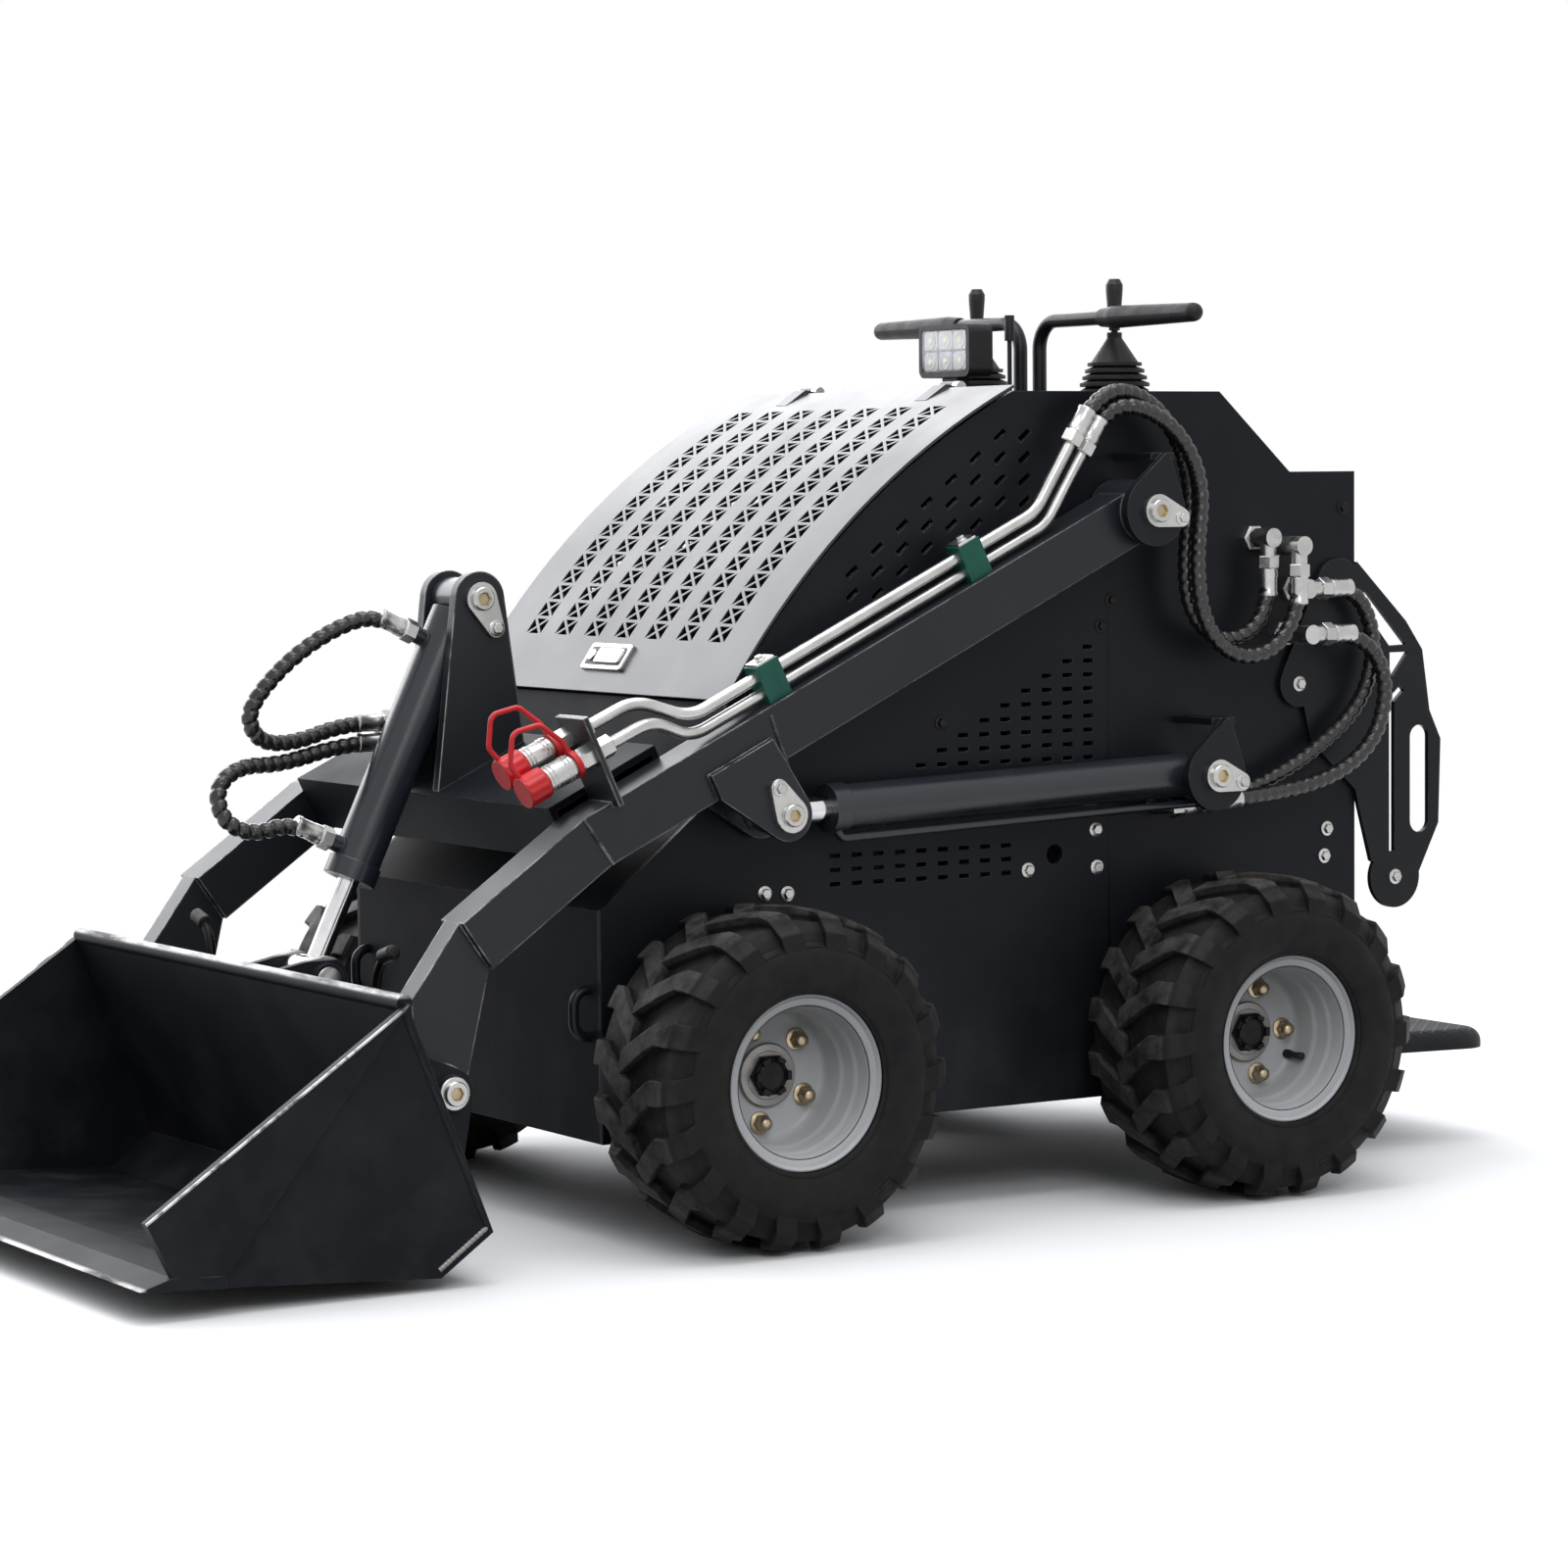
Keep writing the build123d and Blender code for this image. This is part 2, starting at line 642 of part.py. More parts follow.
def hood_plane(distance, rise):
    """A plane on the hood, at a distance down its arc from the top edge; its x runs along Y."""
    angle = hood_centre()[1] - distance / HOOD_RADIUS
    x, z = hood_point(angle, rise)
    return Plane(origin=(x, 0, z), x_dir=(0, 1, 0), z_dir=(math.cos(angle), 0, math.sin(angle)))


def grille_cell():
    """The four openings of one crossed grille cell."""
    wide, tall = GRILLE_CELL[0] / 2, GRILLE_CELL[1] / 2
    diagonal = math.hypot(wide, tall)
    side_tip = GRILLE_WEB / 2 * diagonal / tall
    end_tip = GRILLE_WEB / 2 * diagonal / wide
    edge = tall - GRILLE_WEB / 2
    half = wide * (edge - end_tip) / tall
    side = outline([(side_tip, 0), (wide, tall - end_tip), (wide, end_tip - tall)])
    end = outline([(0, end_tip), (half, edge), (-half, edge)])
    return [side, Rot(0, 0, 180) * side, end, Rot(0, 0, 180) * end]


def grille_openings():
    """The prisms that pierce the hood, column by column."""
    pitch = GRILLE_SPAN / (GRILLE_COLUMNS - 1)
    openings = []
    for row in range(GRILLE_ROWS):
        plane = hood_plane(GRILLE_START + GRILLE_CELL[1] * row, HOOD_GAP + PANEL_SHEET / 2)
        for column in range(GRILLE_COLUMNS):
            place = Pos(pitch * column - GRILLE_SPAN / 2, 0, 0)
            cell = [plane * place * face for face in grille_cell()]
            openings += [extrude(face, amount=PANEL_SHEET, both=True) for face in cell]
    return openings


def hood_latch():
    """The paddle latch on the plain band of the hood, its paddle sunk in a rim."""
    plane = hood_plane(LATCH_PLACE, HOOD_GAP + PANEL_SHEET)
    plate = extrude(plane * Rectangle(LATCH_WIDTH, LATCH_LENGTH), amount=LATCH_RISE)
    pocket = Rectangle(LATCH_WIDTH - 2 * LATCH_RIM, LATCH_LENGTH - 2 * LATCH_RIM)
    top = hood_plane(LATCH_PLACE, HOOD_GAP + PANEL_SHEET + LATCH_RISE)
    return plate - extrude(top * pocket, amount=-LATCH_DEPTH)


def hood():
    """The curved hood with its pierced grille and its half of the hinges."""
    centre, top, foot = hood_centre()
    low, high = HOOD_GAP, HOOD_GAP + PANEL_SHEET
    middle = (top + foot) / 2
    inner = ThreePointArc(hood_point(top, low), hood_point(middle, low), hood_point(foot, low))
    outer = ThreePointArc(hood_point(top, high), hood_point(middle, high), hood_point(foot, high))
    ends = [Line(inner @ 0, outer @ 0), Line(inner @ 1, outer @ 1)]
    section = make_face([*inner.edges(), *outer.edges(), *ends[0].edges(), *ends[1].edges()])
    edge = BODY_SIDE + HOOD_OVERHANG
    panel = upright(section, -edge, edge) - grille_openings()
    axis = hinge_axis()
    seat = hood_point(top - HINGE_LEAF_LENGTH / HOOD_RADIUS, high - PANEL_SHEET / 2)
    start = hood_point(top, high + HINGE_LEAF / 2)
    line = [axis, start, seat]
    leaf = outline(shifted(line, HINGE_LEAF / 2) + shifted(line, -HINGE_LEAF / 2)[::-1])
    knuckle = leaf + disc(axis, HINGE_RADIUS) - disc(axis, HINGE_PIN_RADIUS + PIN_CLEARANCE)
    for y in (-HINGE_OFFSET, HINGE_OFFSET):
        panel += upright(knuckle, y - HINGE_KNUCKLE / 2, y + HINGE_KNUCKLE / 2)
    return panel


def hood_hinges():
    """The console's half of the hinges: two knuckles on a leaf, joined by the pin."""
    axis = hinge_axis()
    inner = HINGE_KNUCKLE / 2 + HINGE_CLEARANCE
    outer = inner + HINGE_KNUCKLE / 2
    hinge = bar(axis, HINGE_PIN_RADIUS, -outer, outer)
    leaf_end = axis[0] - HINGE_LEAF_LENGTH
    for low, high in ((-outer, -inner), (inner, outer)):
        hinge += bar(axis, HINGE_RADIUS, low, high)
        hinge += block((leaf_end, low, CONSOLE_HEIGHT), (axis[0], high, CONSOLE_HEIGHT + HINGE_LEAF))
    return both_sides(Pos(0, HINGE_OFFSET, 0) * hinge)


def engine_block():
    """The engine as a plain block on its bed between the side plates."""
    length, width, height = ENGINE_SIZE
    bed_top = ENGINE_BED_HEIGHT + ENGINE_BED_SHEET
    half = length / 2
    bed = block(
        (ENGINE_CENTRE_X - half, -BODY_INSIDE, ENGINE_BED_HEIGHT),
        (ENGINE_CENTRE_X + half, BODY_INSIDE, bed_top),
    )
    return bed + Pos(ENGINE_CENTRE_X, 0, bed_top + height / 2) * Box(length, width, height)


def hydraulic_tank():
    """The oil tank on the belly under the console."""
    length, width, height = TANK_SIZE
    return Pos(TANK_CENTRE_X, 0, BODY_BOTTOM + TUB_SHEET + height / 2) * Box(length, width, height)


def bracket(pin):
    """A left cheek that stands off the side plate and holds a pin's outer end."""
    apex = moved(pin, BRACKET_APEX)
    cheek = hull(disc(pin, BRACKET_RADIUS), disc(apex, BRACKET_FLANGE / 2))
    flange_rear = apex[0] - BRACKET_FLANGE_LENGTH / 2
    flange_low = apex[1] - BRACKET_FLANGE / 2
    flange = block(
        (flange_rear, BODY_SIDE, flange_low),
        (flange_rear + BRACKET_FLANGE_LENGTH, CHEEK_INNER, flange_low + BRACKET_FLANGE),
    )
    return upright(cheek, CHEEK_INNER, CHEEK_OUTER) + flange


def arm_brackets():
    """The brackets of the arm pivots and the lift cylinders' rear pins."""
    arm = bracket(ARM_PIVOT) - bar(ARM_PIVOT, PIVOT_PIN_RADIUS, CHEEK_INNER, CHEEK_OUTER)
    cylinder = bracket(LIFT_BASE_PIN) - bar(LIFT_BASE_PIN, PIN_RADIUS, CHEEK_INNER, CHEEK_OUTER)
    return both_sides(arm) + both_sides(cylinder)


def headed_pin(centre, radius, start, end):
    """A pin along Y with a head outside its end."""
    return bar(centre, radius, start, end) + bar(centre, PIN_HEAD_RADIUS, end, end + PIN_HEAD)


def kept_pin(centre, radius, start, end, reach):
    """A pin along Y with a teardrop keeper outside its end."""
    keeper = hull(disc(centre, PIN_HEAD_RADIUS), disc(moved(centre, reach), KEEPER_RADIUS))
    return bar(centre, radius, start, end) + upright(keeper, end, end + PIN_HEAD)


def bracket_pins():
    """The pins that the arms and the lift cylinders turn on."""
    arm = kept_pin(ARM_PIVOT, PIVOT_PIN_RADIUS, BODY_SIDE, CHEEK_OUTER, KEEPER_REACH)
    cylinder = kept_pin(LIFT_BASE_PIN, PIN_RADIUS, BODY_SIDE, CHEEK_OUTER, KEEPER_REACH)
    return both_sides(arm) + both_sides(cylinder)


def rear_guards():
    """Side guards beside the operator, cut out with windows, a slot and a hand hole."""
    top, side, foot = [disc(centre, radius) for centre, radius in zip(GUARD_BOLTS, GUARD_LOBES)]
    web = outline([GUARD_BOLTS[0], *GUARD_OUTER, GUARD_BOLTS[2], *GUARD_INNER, GUARD_BOLTS[1]])
    windows = (GUARD_WINDOW, GUARD_INNER_WINDOW, GUARD_REAR_WINDOW, GUARD_SLOT)
    holes = [outline(window) for window in windows]
    hand = SlotOverall(HAND_HOLE_LENGTH, HAND_HOLE_WIDTH, rotation=90)
    plate = web + hull(top, side) + foot - holes - Pos(GUARD_REAR, HAND_HOLE_HEIGHT) * hand
    return both_sides(upright(plate, BODY_SIDE, BODY_SIDE + GUARD_SHEET))


def step_platform():
    """The operator's step behind the body, with rounded rear corners and a rounded upper edge."""
    rear, front = STEP_REAR_WIDTH / 2, STEP_FRONT_WIDTH / 2
    corners = [(BODY_REAR, -front), (BODY_REAR, front), (STEP_REAR, rear), (STEP_REAR, -rear)]
    plate = outline(corners)
    plate = fillet(plate.vertices().sort_by(Axis.X)[:2], STEP_CORNER)
    step = extrude(Pos(0, 0, STEP_HEIGHT - STEP_SHEET) * plate, amount=STEP_SHEET)
    return fillet(step.edges().group_by(Axis.Z)[-1].sort_by(Axis.X)[0], STEP_NOSE)


# Controls

def handlebar():
    """Two bent hand rails on posts beside the middle of the console."""
    post = BAR_POST_SPACING / 2
    points = [(BAR_X, post, CONSOLE_HEIGHT), (BAR_X, post, BAR_HEIGHT), (BAR_X, BAR_WIDTH / 2, BAR_HEIGHT)]
    return both_sides(tube(points, BAR_RADIUS, BAR_BEND))


def handlebar_grips():
    """Rubber sleeves on the outer ends of the hand rails, with a bulge and a closed tip."""
    outer = BAR_RADIUS + GRIP_SHEET
    end = BAR_WIDTH / 2
    start = end - GRIP_LENGTH
    tip = end + GRIP_SHEET
    section = [(BAR_RADIUS, start), (outer, start), (BAR_RADIUS + GRIP_BULGE, start + GRIP_BULGE_START)]
    section += [(outer, tip), (0, tip), (0, end), (BAR_RADIUS, end)]
    return both_sides(Pos(BAR_X, 0, BAR_HEIGHT) * revolve(outline(section), axis=Axis.Y))


def joysticks():
    """Two control sticks with tapered handles, and the throttle lever."""
    stick_start = CONSOLE_HEIGHT + BOOT_HEIGHT
    knob_start = STICK_HEIGHT - KNOB_LENGTH
    stick = rod((STICK_X, STICK_Y, stick_start), (STICK_X, STICK_Y, knob_start), STICK_RADIUS)
    shoulder = KNOB_LENGTH - KNOB_CROWN
    section = [(0, 0), (KNOB_FOOT_RADIUS, 0), (KNOB_RADIUS, shoulder)]
    section += [(KNOB_RADIUS, shoulder + KNOB_CROWN / 2), (KNOB_FOOT_RADIUS, KNOB_LENGTH), (0, KNOB_LENGTH)]
    stick += Pos(STICK_X, STICK_Y, knob_start) * revolve(Plane.XZ * outline(section), axis=Axis.Z)
    lever_top = THROTTLE_HEIGHT - THROTTLE_KNOB_LENGTH
    lever = rod((THROTTLE_X, 0, CONSOLE_HEIGHT), (THROTTLE_X, 0, lever_top), THROTTLE_RADIUS)
    lever += rod((THROTTLE_X, 0, lever_top), (THROTTLE_X, 0, THROTTLE_HEIGHT), THROTTLE_KNOB_RADIUS)
    return both_sides(stick) + lever


def joystick_boots():
    """Boots at the feet of the control sticks: bellows, a plain cone and a collar."""
    section = [(0, 0), (BOOT_RADIUS, 0), (BOOT_RADIUS, BOOT_BASE)]
    fold = (BOOT_BELLOWS - BOOT_BASE) / BOOT_FOLDS
    for number in range(BOOT_FOLDS):
        radius = BOOT_RADIUS + (BOOT_CONE_RADIUS - BOOT_RADIUS) * (number + 1) / BOOT_FOLDS
        low = BOOT_BASE + fold * number
        section += [(radius - BOOT_FOLD / 2, low + fold / 2), (radius + BOOT_FOLD / 2, low + fold / 2)]
        section += [(radius + BOOT_FOLD / 2, low + fold)]
    collar = BOOT_HEIGHT - BOOT_CAP
    section += [(BOOT_CONE_RADIUS, BOOT_BELLOWS), (BOOT_NECK_RADIUS, collar), (BOOT_NECK_RADIUS, BOOT_HEIGHT)]
    section += [(0, BOOT_HEIGHT)]
    boot = revolve(Plane.XZ * outline(section), axis=Axis.Z)
    return both_sides(Pos(STICK_X, STICK_Y, CONSOLE_HEIGHT) * boot)


def work_lamp():
    """The work lamp on its foot at the front of the console, its face sunk in a rim."""
    depth, width, height = LAMP_SIZE
    middle = CONSOLE_HEIGHT + LAMP_LIFT + height / 2
    case = Pos(LAMP_X, 0, middle) * fillet(Box(*LAMP_SIZE).edges().filter_by(Axis.X), LAMP_CORNER)
    foot = Pos(LAMP_X, 0, CONSOLE_HEIGHT + LAMP_LIFT / 2) * Box(depth / 2, LAMP_FOOT_WIDTH, LAMP_LIFT)
    face = Pos(LAMP_X + (depth - LAMP_RECESS) / 2, 0, middle) * Box(
        LAMP_RECESS, width - 2 * LAMP_RIM, height - 2 * LAMP_RIM)
    return case + foot - face


# Fittings on the body

def body_ports():
    """Where the fittings on the left side plate turn, and where each one's leg meets its hose."""
    ports = []
    for (x, z), reach in zip(ARM_PORTS, ARM_PORT_REACH):
        ports.append(((x, BODY_SIDE + reach, z), (x, BODY_SIDE + reach, z - PORT_LEG)))
    for (x, z), reach in zip(LIFT_PORTS, LIFT_PORT_REACH):
        ports.append(((x, BODY_SIDE + reach, z), (x - PORT_LEG, BODY_SIDE + reach, z)))
    return ports


def hose_ports():
    """The elbow fittings on the left side plate that the hoses screw on to."""
    fittings = []
    for (x, y, z), end in body_ports():
        stub = bar((x, z), PORT_RADIUS, BODY_SIDE, y + PORT_RADIUS)
        fittings.append(stub + rod((x, y, z), end, PORT_LEG_RADIUS))
    return fittings[0] + fittings[1:]


def tie_down_loops():
    """Bent bar loops on the front plate for lashing the machine down."""
    reach = BODY_FRONT + LOOP_REACH
    ends = [(BODY_FRONT, LOOP_Y, LOOP_HIGH), (reach, LOOP_Y, LOOP_HIGH), (reach, LOOP_Y, LOOP_LOW)]
    ends += [(BODY_FRONT, LOOP_Y, LOOP_LOW)]
    return both_sides(tube(ends, LOOP_RADIUS, LOOP_BEND))


# Lift arms

def arm_line(x, side=0.0):
    """A point of the main arm at x, moved to its upper side by side."""
    share = (x - ARM_PIVOT[0]) / (ARM_ELBOW[0] - ARM_PIVOT[0])
    reach = math.dist(ARM_PIVOT, ARM_ELBOW) * share
    return along(ARM_PIVOT, ARM_ELBOW, reach, side)


def lift_arms():
    """Both lift arms: main bar, front leg, end plate and cylinder gussets."""
    half = ARM_DEPTH / 2
    spine = [ARM_PIVOT, ARM_ELBOW, ARM_KNEE]
    rail = outline(shifted(spine, half) + shifted(spine, -half)[::-1])
    arm = upright(rail, ARM_INNER, ARM_OUTER)
    arm += bar(ARM_PIVOT, ARM_BOSS_RADIUS, BODY_SIDE + ARM_BOSS_GAP, GUSSET_OUTER)
    knee_top = along(ARM_KNEE, ARM_ELBOW, 0, -half)
    knee_low = along(ARM_KNEE, ARM_ELBOW, 0, half)
    end = hull(outline([knee_top, knee_low, ARM_NOSE]), disc(BUCKET_PIVOT, ARM_END_RADIUS))
    arm += upright(end, ARM_MIDDLE - ARM_END_SHEET / 2, ARM_MIDDLE + ARM_END_SHEET / 2)
    arm += bar(BUCKET_PIVOT, ARM_END_RADIUS, ARM_INNER, ARM_OUTER)
    gusset_top = outline([arm_line(GUSSET_REAR), arm_line(GUSSET_FRONT), arm_line(GUSSET_FRONT, -half)])
    gusset = hull(gusset_top, disc(LIFT_ROD_PIN, GUSSET_RADIUS))
    arm += upright(gusset, ARM_INNER - ARM_GUSSET, ARM_INNER)
    arm += upright(gusset, ARM_OUTER, GUSSET_OUTER)
    arm += bar(LIFT_ROD_PIN, PIN_HEAD_RADIUS, GUSSET_OUTER, GUSSET_OUTER + PIN_HEAD)
    arm -= bar(ARM_PIVOT, PIVOT_PIN_RADIUS + PIN_CLEARANCE, BODY_SIDE, CHEEK_OUTER)
    arm -= bar(BUCKET_PIVOT, PIN_RADIUS + PIN_CLEARANCE, ARM_INNER, ARM_OUTER)
    return both_sides(arm) + coupler_plate()


# Pipes and couplers on the left arm

def pipe_line():
    """The line midway between the two pipes: a tail, the run along the arm, a hump and a nose."""
    side = ARM_DEPTH / 2 + PIPE_LIFT
    start, trough = arm_line(PIPE_START, side), arm_line(PIPE_TROUGH, side)
    hump = moved(trough, PIPE_HUMP)
    return [moved(start, PIPE_TAIL), start, trough, hump, moved(hump, PIPE_NOSE)]


def pipe_route(side):
    """The corners of one pipe: the upper one for side 1 and the lower one for side -1."""
    line = shifted(pipe_line(), side * PIPE_PITCH / 2)
    spread = [PIPE_Y] * 3 + [PIPE_Y - side * PIPE_SPREAD] * 2
    return [(x, y, z) for (x, z), y in zip(line, spread)]


def arm_pipes():
    """The two hard pipes above the left arm."""
    return tube(pipe_route(1), PIPE_RADIUS, PIPE_BEND) + tube(pipe_route(-1), PIPE_RADIUS, PIPE_BEND)


def pipe_clamps():
    """The clamp blocks that hold both pipes on the arm."""
    low = ARM_DEPTH / 2
    high = low + CLAMP_HEIGHT
    clamps = []
    for x in CLAMP_PLACES:
        rear, front = x - CLAMP_LENGTH / 2, x + CLAMP_LENGTH / 2
        foot, top = [arm_line(rear, low), arm_line(front, low)], [arm_line(front, high), arm_line(rear, high)]
        face = outline(foot + top)
        clamps.append(upright(face, PIPE_Y - CLAMP_WIDTH / 2, PIPE_Y + CLAMP_WIDTH / 2) - arm_pipes())
    return clamps[0] + clamps[1]


def coupler_plate():
    """The plate on the left arm that the pipes end at and the couplers stand on."""
    hump, end = pipe_line()[-2:]
    rear = math.dist(hump, end)
    front = rear + COUPLER_SHEET
    low, high = -COUPLER_FOOT, COUPLER_TOP
    corners = [(rear, low), (front, low), (front, high), (rear, high)]
    face = outline([along(hump, end, reach, side) for reach, side in corners])
    return upright(face, PIPE_Y - COUPLER_INNER, PIPE_Y + COUPLER_OUTER)


def coupler_plane(side):
    """Where a coupler leaves its plate, with z along the coupler and x to its upper side."""
    before, end = [Vector(*point) for point in pipe_route(side)[-2:]]
    way = (end - before).normalized()
    return Plane(origin=end + way * COUPLER_SHEET, x_dir=(-way.Z, 0, way.X), z_dir=way)


def coupler():
    """A quick coupler on its own Z axis: a hexagon and three turned steps."""
    shape = extrude(RegularPolygon(COUPLER_NUT_RADIUS, 6), amount=COUPLER_NUT)
    start = COUPLER_NUT
    for radius, end in COUPLER_STEPS:
        shape += extrude(Pos(0, 0, start) * Circle(radius), amount=end - start)
        start = end
    return shape


def coupler_cap():
    """A dust cap on a coupler's nose, tied by a looped strap to a ring round its body."""
    nose, nose_end = COUPLER_STEPS[-1]
    neck = COUPLER_STEPS[0][0] + SEAT_CLEARANCE
    cap = extrude(Pos(0, 0, CAP_START) * Circle(CAP_RADIUS), amount=CAP_END - CAP_START)
    cap -= extrude(Pos(0, 0, CAP_START) * Circle(nose + SEAT_CLEARANCE), amount=nose_end - CAP_START)
    low, high = STRAP_RING
    ring = extrude(Pos(0, 0, low) * (Circle(STRAP_RING_RADIUS) - Circle(neck)), amount=high - low)
    return cap + tube([(rise, 0, reach) for rise, reach in STRAP_ROUTE], STRAP_RADIUS, STRAP_BEND) + ring


def coupler_caps():
    """The dust caps of both couplers."""
    return coupler_plane(1) * coupler_cap() + coupler_plane(-1) * coupler_cap()


def tower_ports():
    """Where the fittings on the tower's right cheek turn, and where each one meets its hose."""
    y = -TOWER_OUTER - TOWER_PORT_OUT
    return [((x, y, z), (x + TOWER_PORT_LEG, y, z)) for x, z in TOWER_PORTS]


def line_fittings():
    """The couplers on their plate and the elbow fittings on the tilt tower."""
    shape = coupler_plane(1) * coupler() + coupler_plane(-1) * coupler()
    for (x, y, z), end in tower_ports():
        shape += bar((x, z), TOWER_PORT_RADIUS, y - TOWER_PORT_RADIUS, -TOWER_OUTER)
        shape += rod((x, y, z), end, TOWER_PORT_RADIUS)
    return shape


def beam_top(x):
    """A point on the cross beam's upper face."""
    return arm_line(x, ARM_DEPTH / 2 + BEAM_RISE)


def arm_crossbeam():
    """The hollow beam welded between the arms."""
    line = [beam_top(BEAM_REAR), beam_top(BEAM_FRONT)]
    section = outline(line + shifted(line, -BEAM_DEPTH)[::-1])
    inside = shifted([along(*line, BEAM_SHEET), along(*line[::-1], BEAM_SHEET)], -BEAM_SHEET)
    hollow = outline(inside + shifted(inside, 2 * BEAM_SHEET - BEAM_DEPTH)[::-1])
    return upright(section - hollow, -ARM_INNER, ARM_INNER)


def tilt_tower():
    """Two cheeks on the cross beam that hold the tilt cylinder's upper pin."""
    foot = outline([beam_top(TOWER_FOOT[0]), beam_top(TOWER_FOOT[1]), TOWER_PIN])
    cheek = hull(foot, disc(TOWER_PIN, TOWER_RADIUS)) - disc(TOWER_PIN, PIN_RADIUS)
    return both_sides(upright(cheek, TOWER_GAP / 2, TOWER_OUTER))


def tower_pin():
    """The tilt cylinder's upper pin, headed at the right cheek and kept at the left one."""
    head = bar(TOWER_PIN, PIN_HEAD_RADIUS, -TOWER_OUTER - PIN_HEAD, -TOWER_OUTER)
    return head + kept_pin(TOWER_PIN, PIN_RADIUS, -TOWER_OUTER, TOWER_OUTER, TOWER_KEEPER_REACH)


# Cylinders

def cylinder_place(pin, far_pin, middle):
    """A cylinder's own frame: its origin at the base pin and x towards the far pin."""
    angle = math.degrees(math.atan2(far_pin[1] - pin[1], far_pin[0] - pin[0]))
    return Pos(pin[0], middle, pin[1]) * Rot(0, -angle, 0)


def placed(place, point):
    """A point of a frame in the machine's own coordinates."""
    return tuple((place * Pos(*point)).position)


def cylinder_barrel(pin, far_pin, radius, start, rod_show, rod_radius, width, middle):
    """A hydraulic barrel from its eye towards the far pin, bored for the rod."""
    run = math.dist(pin, far_pin)
    length = run - EYE_RADIUS - rod_show - start
    body = Pos(start + length / 2, 0, 0) * Rot(0, 90, 0) * Cylinder(radius, length)
    gland = Pos(start + length - GLAND_LENGTH / 2, 0, 0) * Rot(0, 90, 0) * Cylinder(
        radius + GLAND_RISE, GLAND_LENGTH)
    bore_start = start + radius
    bore_length = run
    bore = Pos(bore_start + bore_length / 2, 0, 0) * Rot(0, 90, 0) * Cylinder(
        rod_radius + PIN_CLEARANCE, bore_length)
    eye = bar((0, 0), EYE_RADIUS, -width / 2, width / 2)
    shape = body + gland + eye - bore
    shape -= bar((0, 0), PIN_RADIUS + PIN_CLEARANCE, -width / 2 - radius, width / 2 + radius)
    return cylinder_place(pin, far_pin, middle) * shape


def cylinder_rod(pin, far_pin, rod_radius, rod_show, rod_inside, width, middle):
    """A chromed rod that ends in an eye with its bush, at the far pin."""
    run = math.dist(pin, far_pin)
    length = EYE_RADIUS + rod_show + rod_inside
    shaft = Pos(run - length / 2, 0, 0) * Rot(0, 90, 0) * Cylinder(rod_radius, length)
    eye = bar((run, 0), EYE_RADIUS, -width / 2, width / 2)
    return cylinder_place(pin, far_pin, middle) * (shaft + eye)


def lift_place():
    """The left lift cylinder's own frame."""
    return cylinder_place(LIFT_BASE_PIN, LIFT_ROD_PIN, ARM_MIDDLE)


def tilt_place():
    """The tilt cylinder's own frame."""
    return cylinder_place(TOWER_PIN, TILT_ROD_PIN, 0)


def base_port():
    """The corners of the lift cylinder's base port, in the cylinder's own frame."""
    low = -LIFT_BARREL_RADIUS - BASE_PORT_DROP
    start = (BASE_PORT_START, BASE_PORT_OFFSET, BASE_PORT_RADIUS - LIFT_BARREL_RADIUS)
    return [start, (BASE_PORT_START, BASE_PORT_OFFSET, low), (BASE_PORT_END, BASE_PORT_OFFSET, low)]


def rod_line():
    """The corners of the hard line below the lift cylinder, in the cylinder's own frame."""
    low = -LIFT_BARREL_RADIUS - LINE_DROP
    gland = math.dist(LIFT_BASE_PIN, LIFT_ROD_PIN) - EYE_RADIUS - LIFT_ROD_SHOW - GLAND_LENGTH / 2
    top = LINE_RADIUS - LIFT_BARREL_RADIUS
    return [(LINE_REAR, LINE_OFFSET, low), (gland, LINE_OFFSET, low), (gland, LINE_OFFSET, top)]


def lift_barrel():
    """The left lift cylinder's barrel with its base port and its hard line to the gland."""
    width = ARM_WIDTH - 2 * EYE_GAP
    barrel = cylinder_barrel(
        LIFT_BASE_PIN, LIFT_ROD_PIN, LIFT_BARREL_RADIUS, LIFT_BARREL_START, LIFT_ROD_SHOW,
        LIFT_ROD_RADIUS, width, ARM_MIDDLE)
    line = rod_line()
    nut = rod(line[0], (0, line[0][1], line[0][2]), LINE_NUT_RADIUS)
    lines = tube(line, LINE_RADIUS, LINE_DROP) + nut + tube(base_port(), BASE_PORT_RADIUS, BASE_PORT_DROP)
    return barrel + lift_place() * lines


def lift_rod():
    width = ARM_WIDTH - 2 * EYE_GAP
    return cylinder_rod(
        LIFT_BASE_PIN, LIFT_ROD_PIN, LIFT_ROD_RADIUS, LIFT_ROD_SHOW, LIFT_ROD_INSIDE, width, ARM_MIDDLE)


def tilt_ports():
    """The feet and the ends of the tilt cylinder's two ports."""
    low = TILT_BARREL_RADIUS - TILT_PORT_RADIUS / 2
    high = TILT_BARREL_RADIUS + TILT_PORT_REACH
    return [(placed(tilt_place(), (x, 0, low)), placed(tilt_place(), (x, 0, high))) for x in TILT_PORTS]


def tilt_barrel():
    """The tilt cylinder's barrel with its two ports."""
    width = TOWER_GAP - 2 * EYE_GAP
    barrel = cylinder_barrel(
        TOWER_PIN, TILT_ROD_PIN, TILT_BARREL_RADIUS, TILT_BARREL_START, TILT_ROD_SHOW,
        TILT_ROD_RADIUS, width, 0)
    return barrel + [rod(foot, end, TILT_PORT_RADIUS) for foot, end in tilt_ports()]


def tilt_rod():
    width = TOWER_GAP - 2 * EYE_GAP
    return cylinder_rod(TOWER_PIN, TILT_ROD_PIN, TILT_ROD_RADIUS, TILT_ROD_SHOW, TILT_ROD_INSIDE, width, 0)


# Hoses

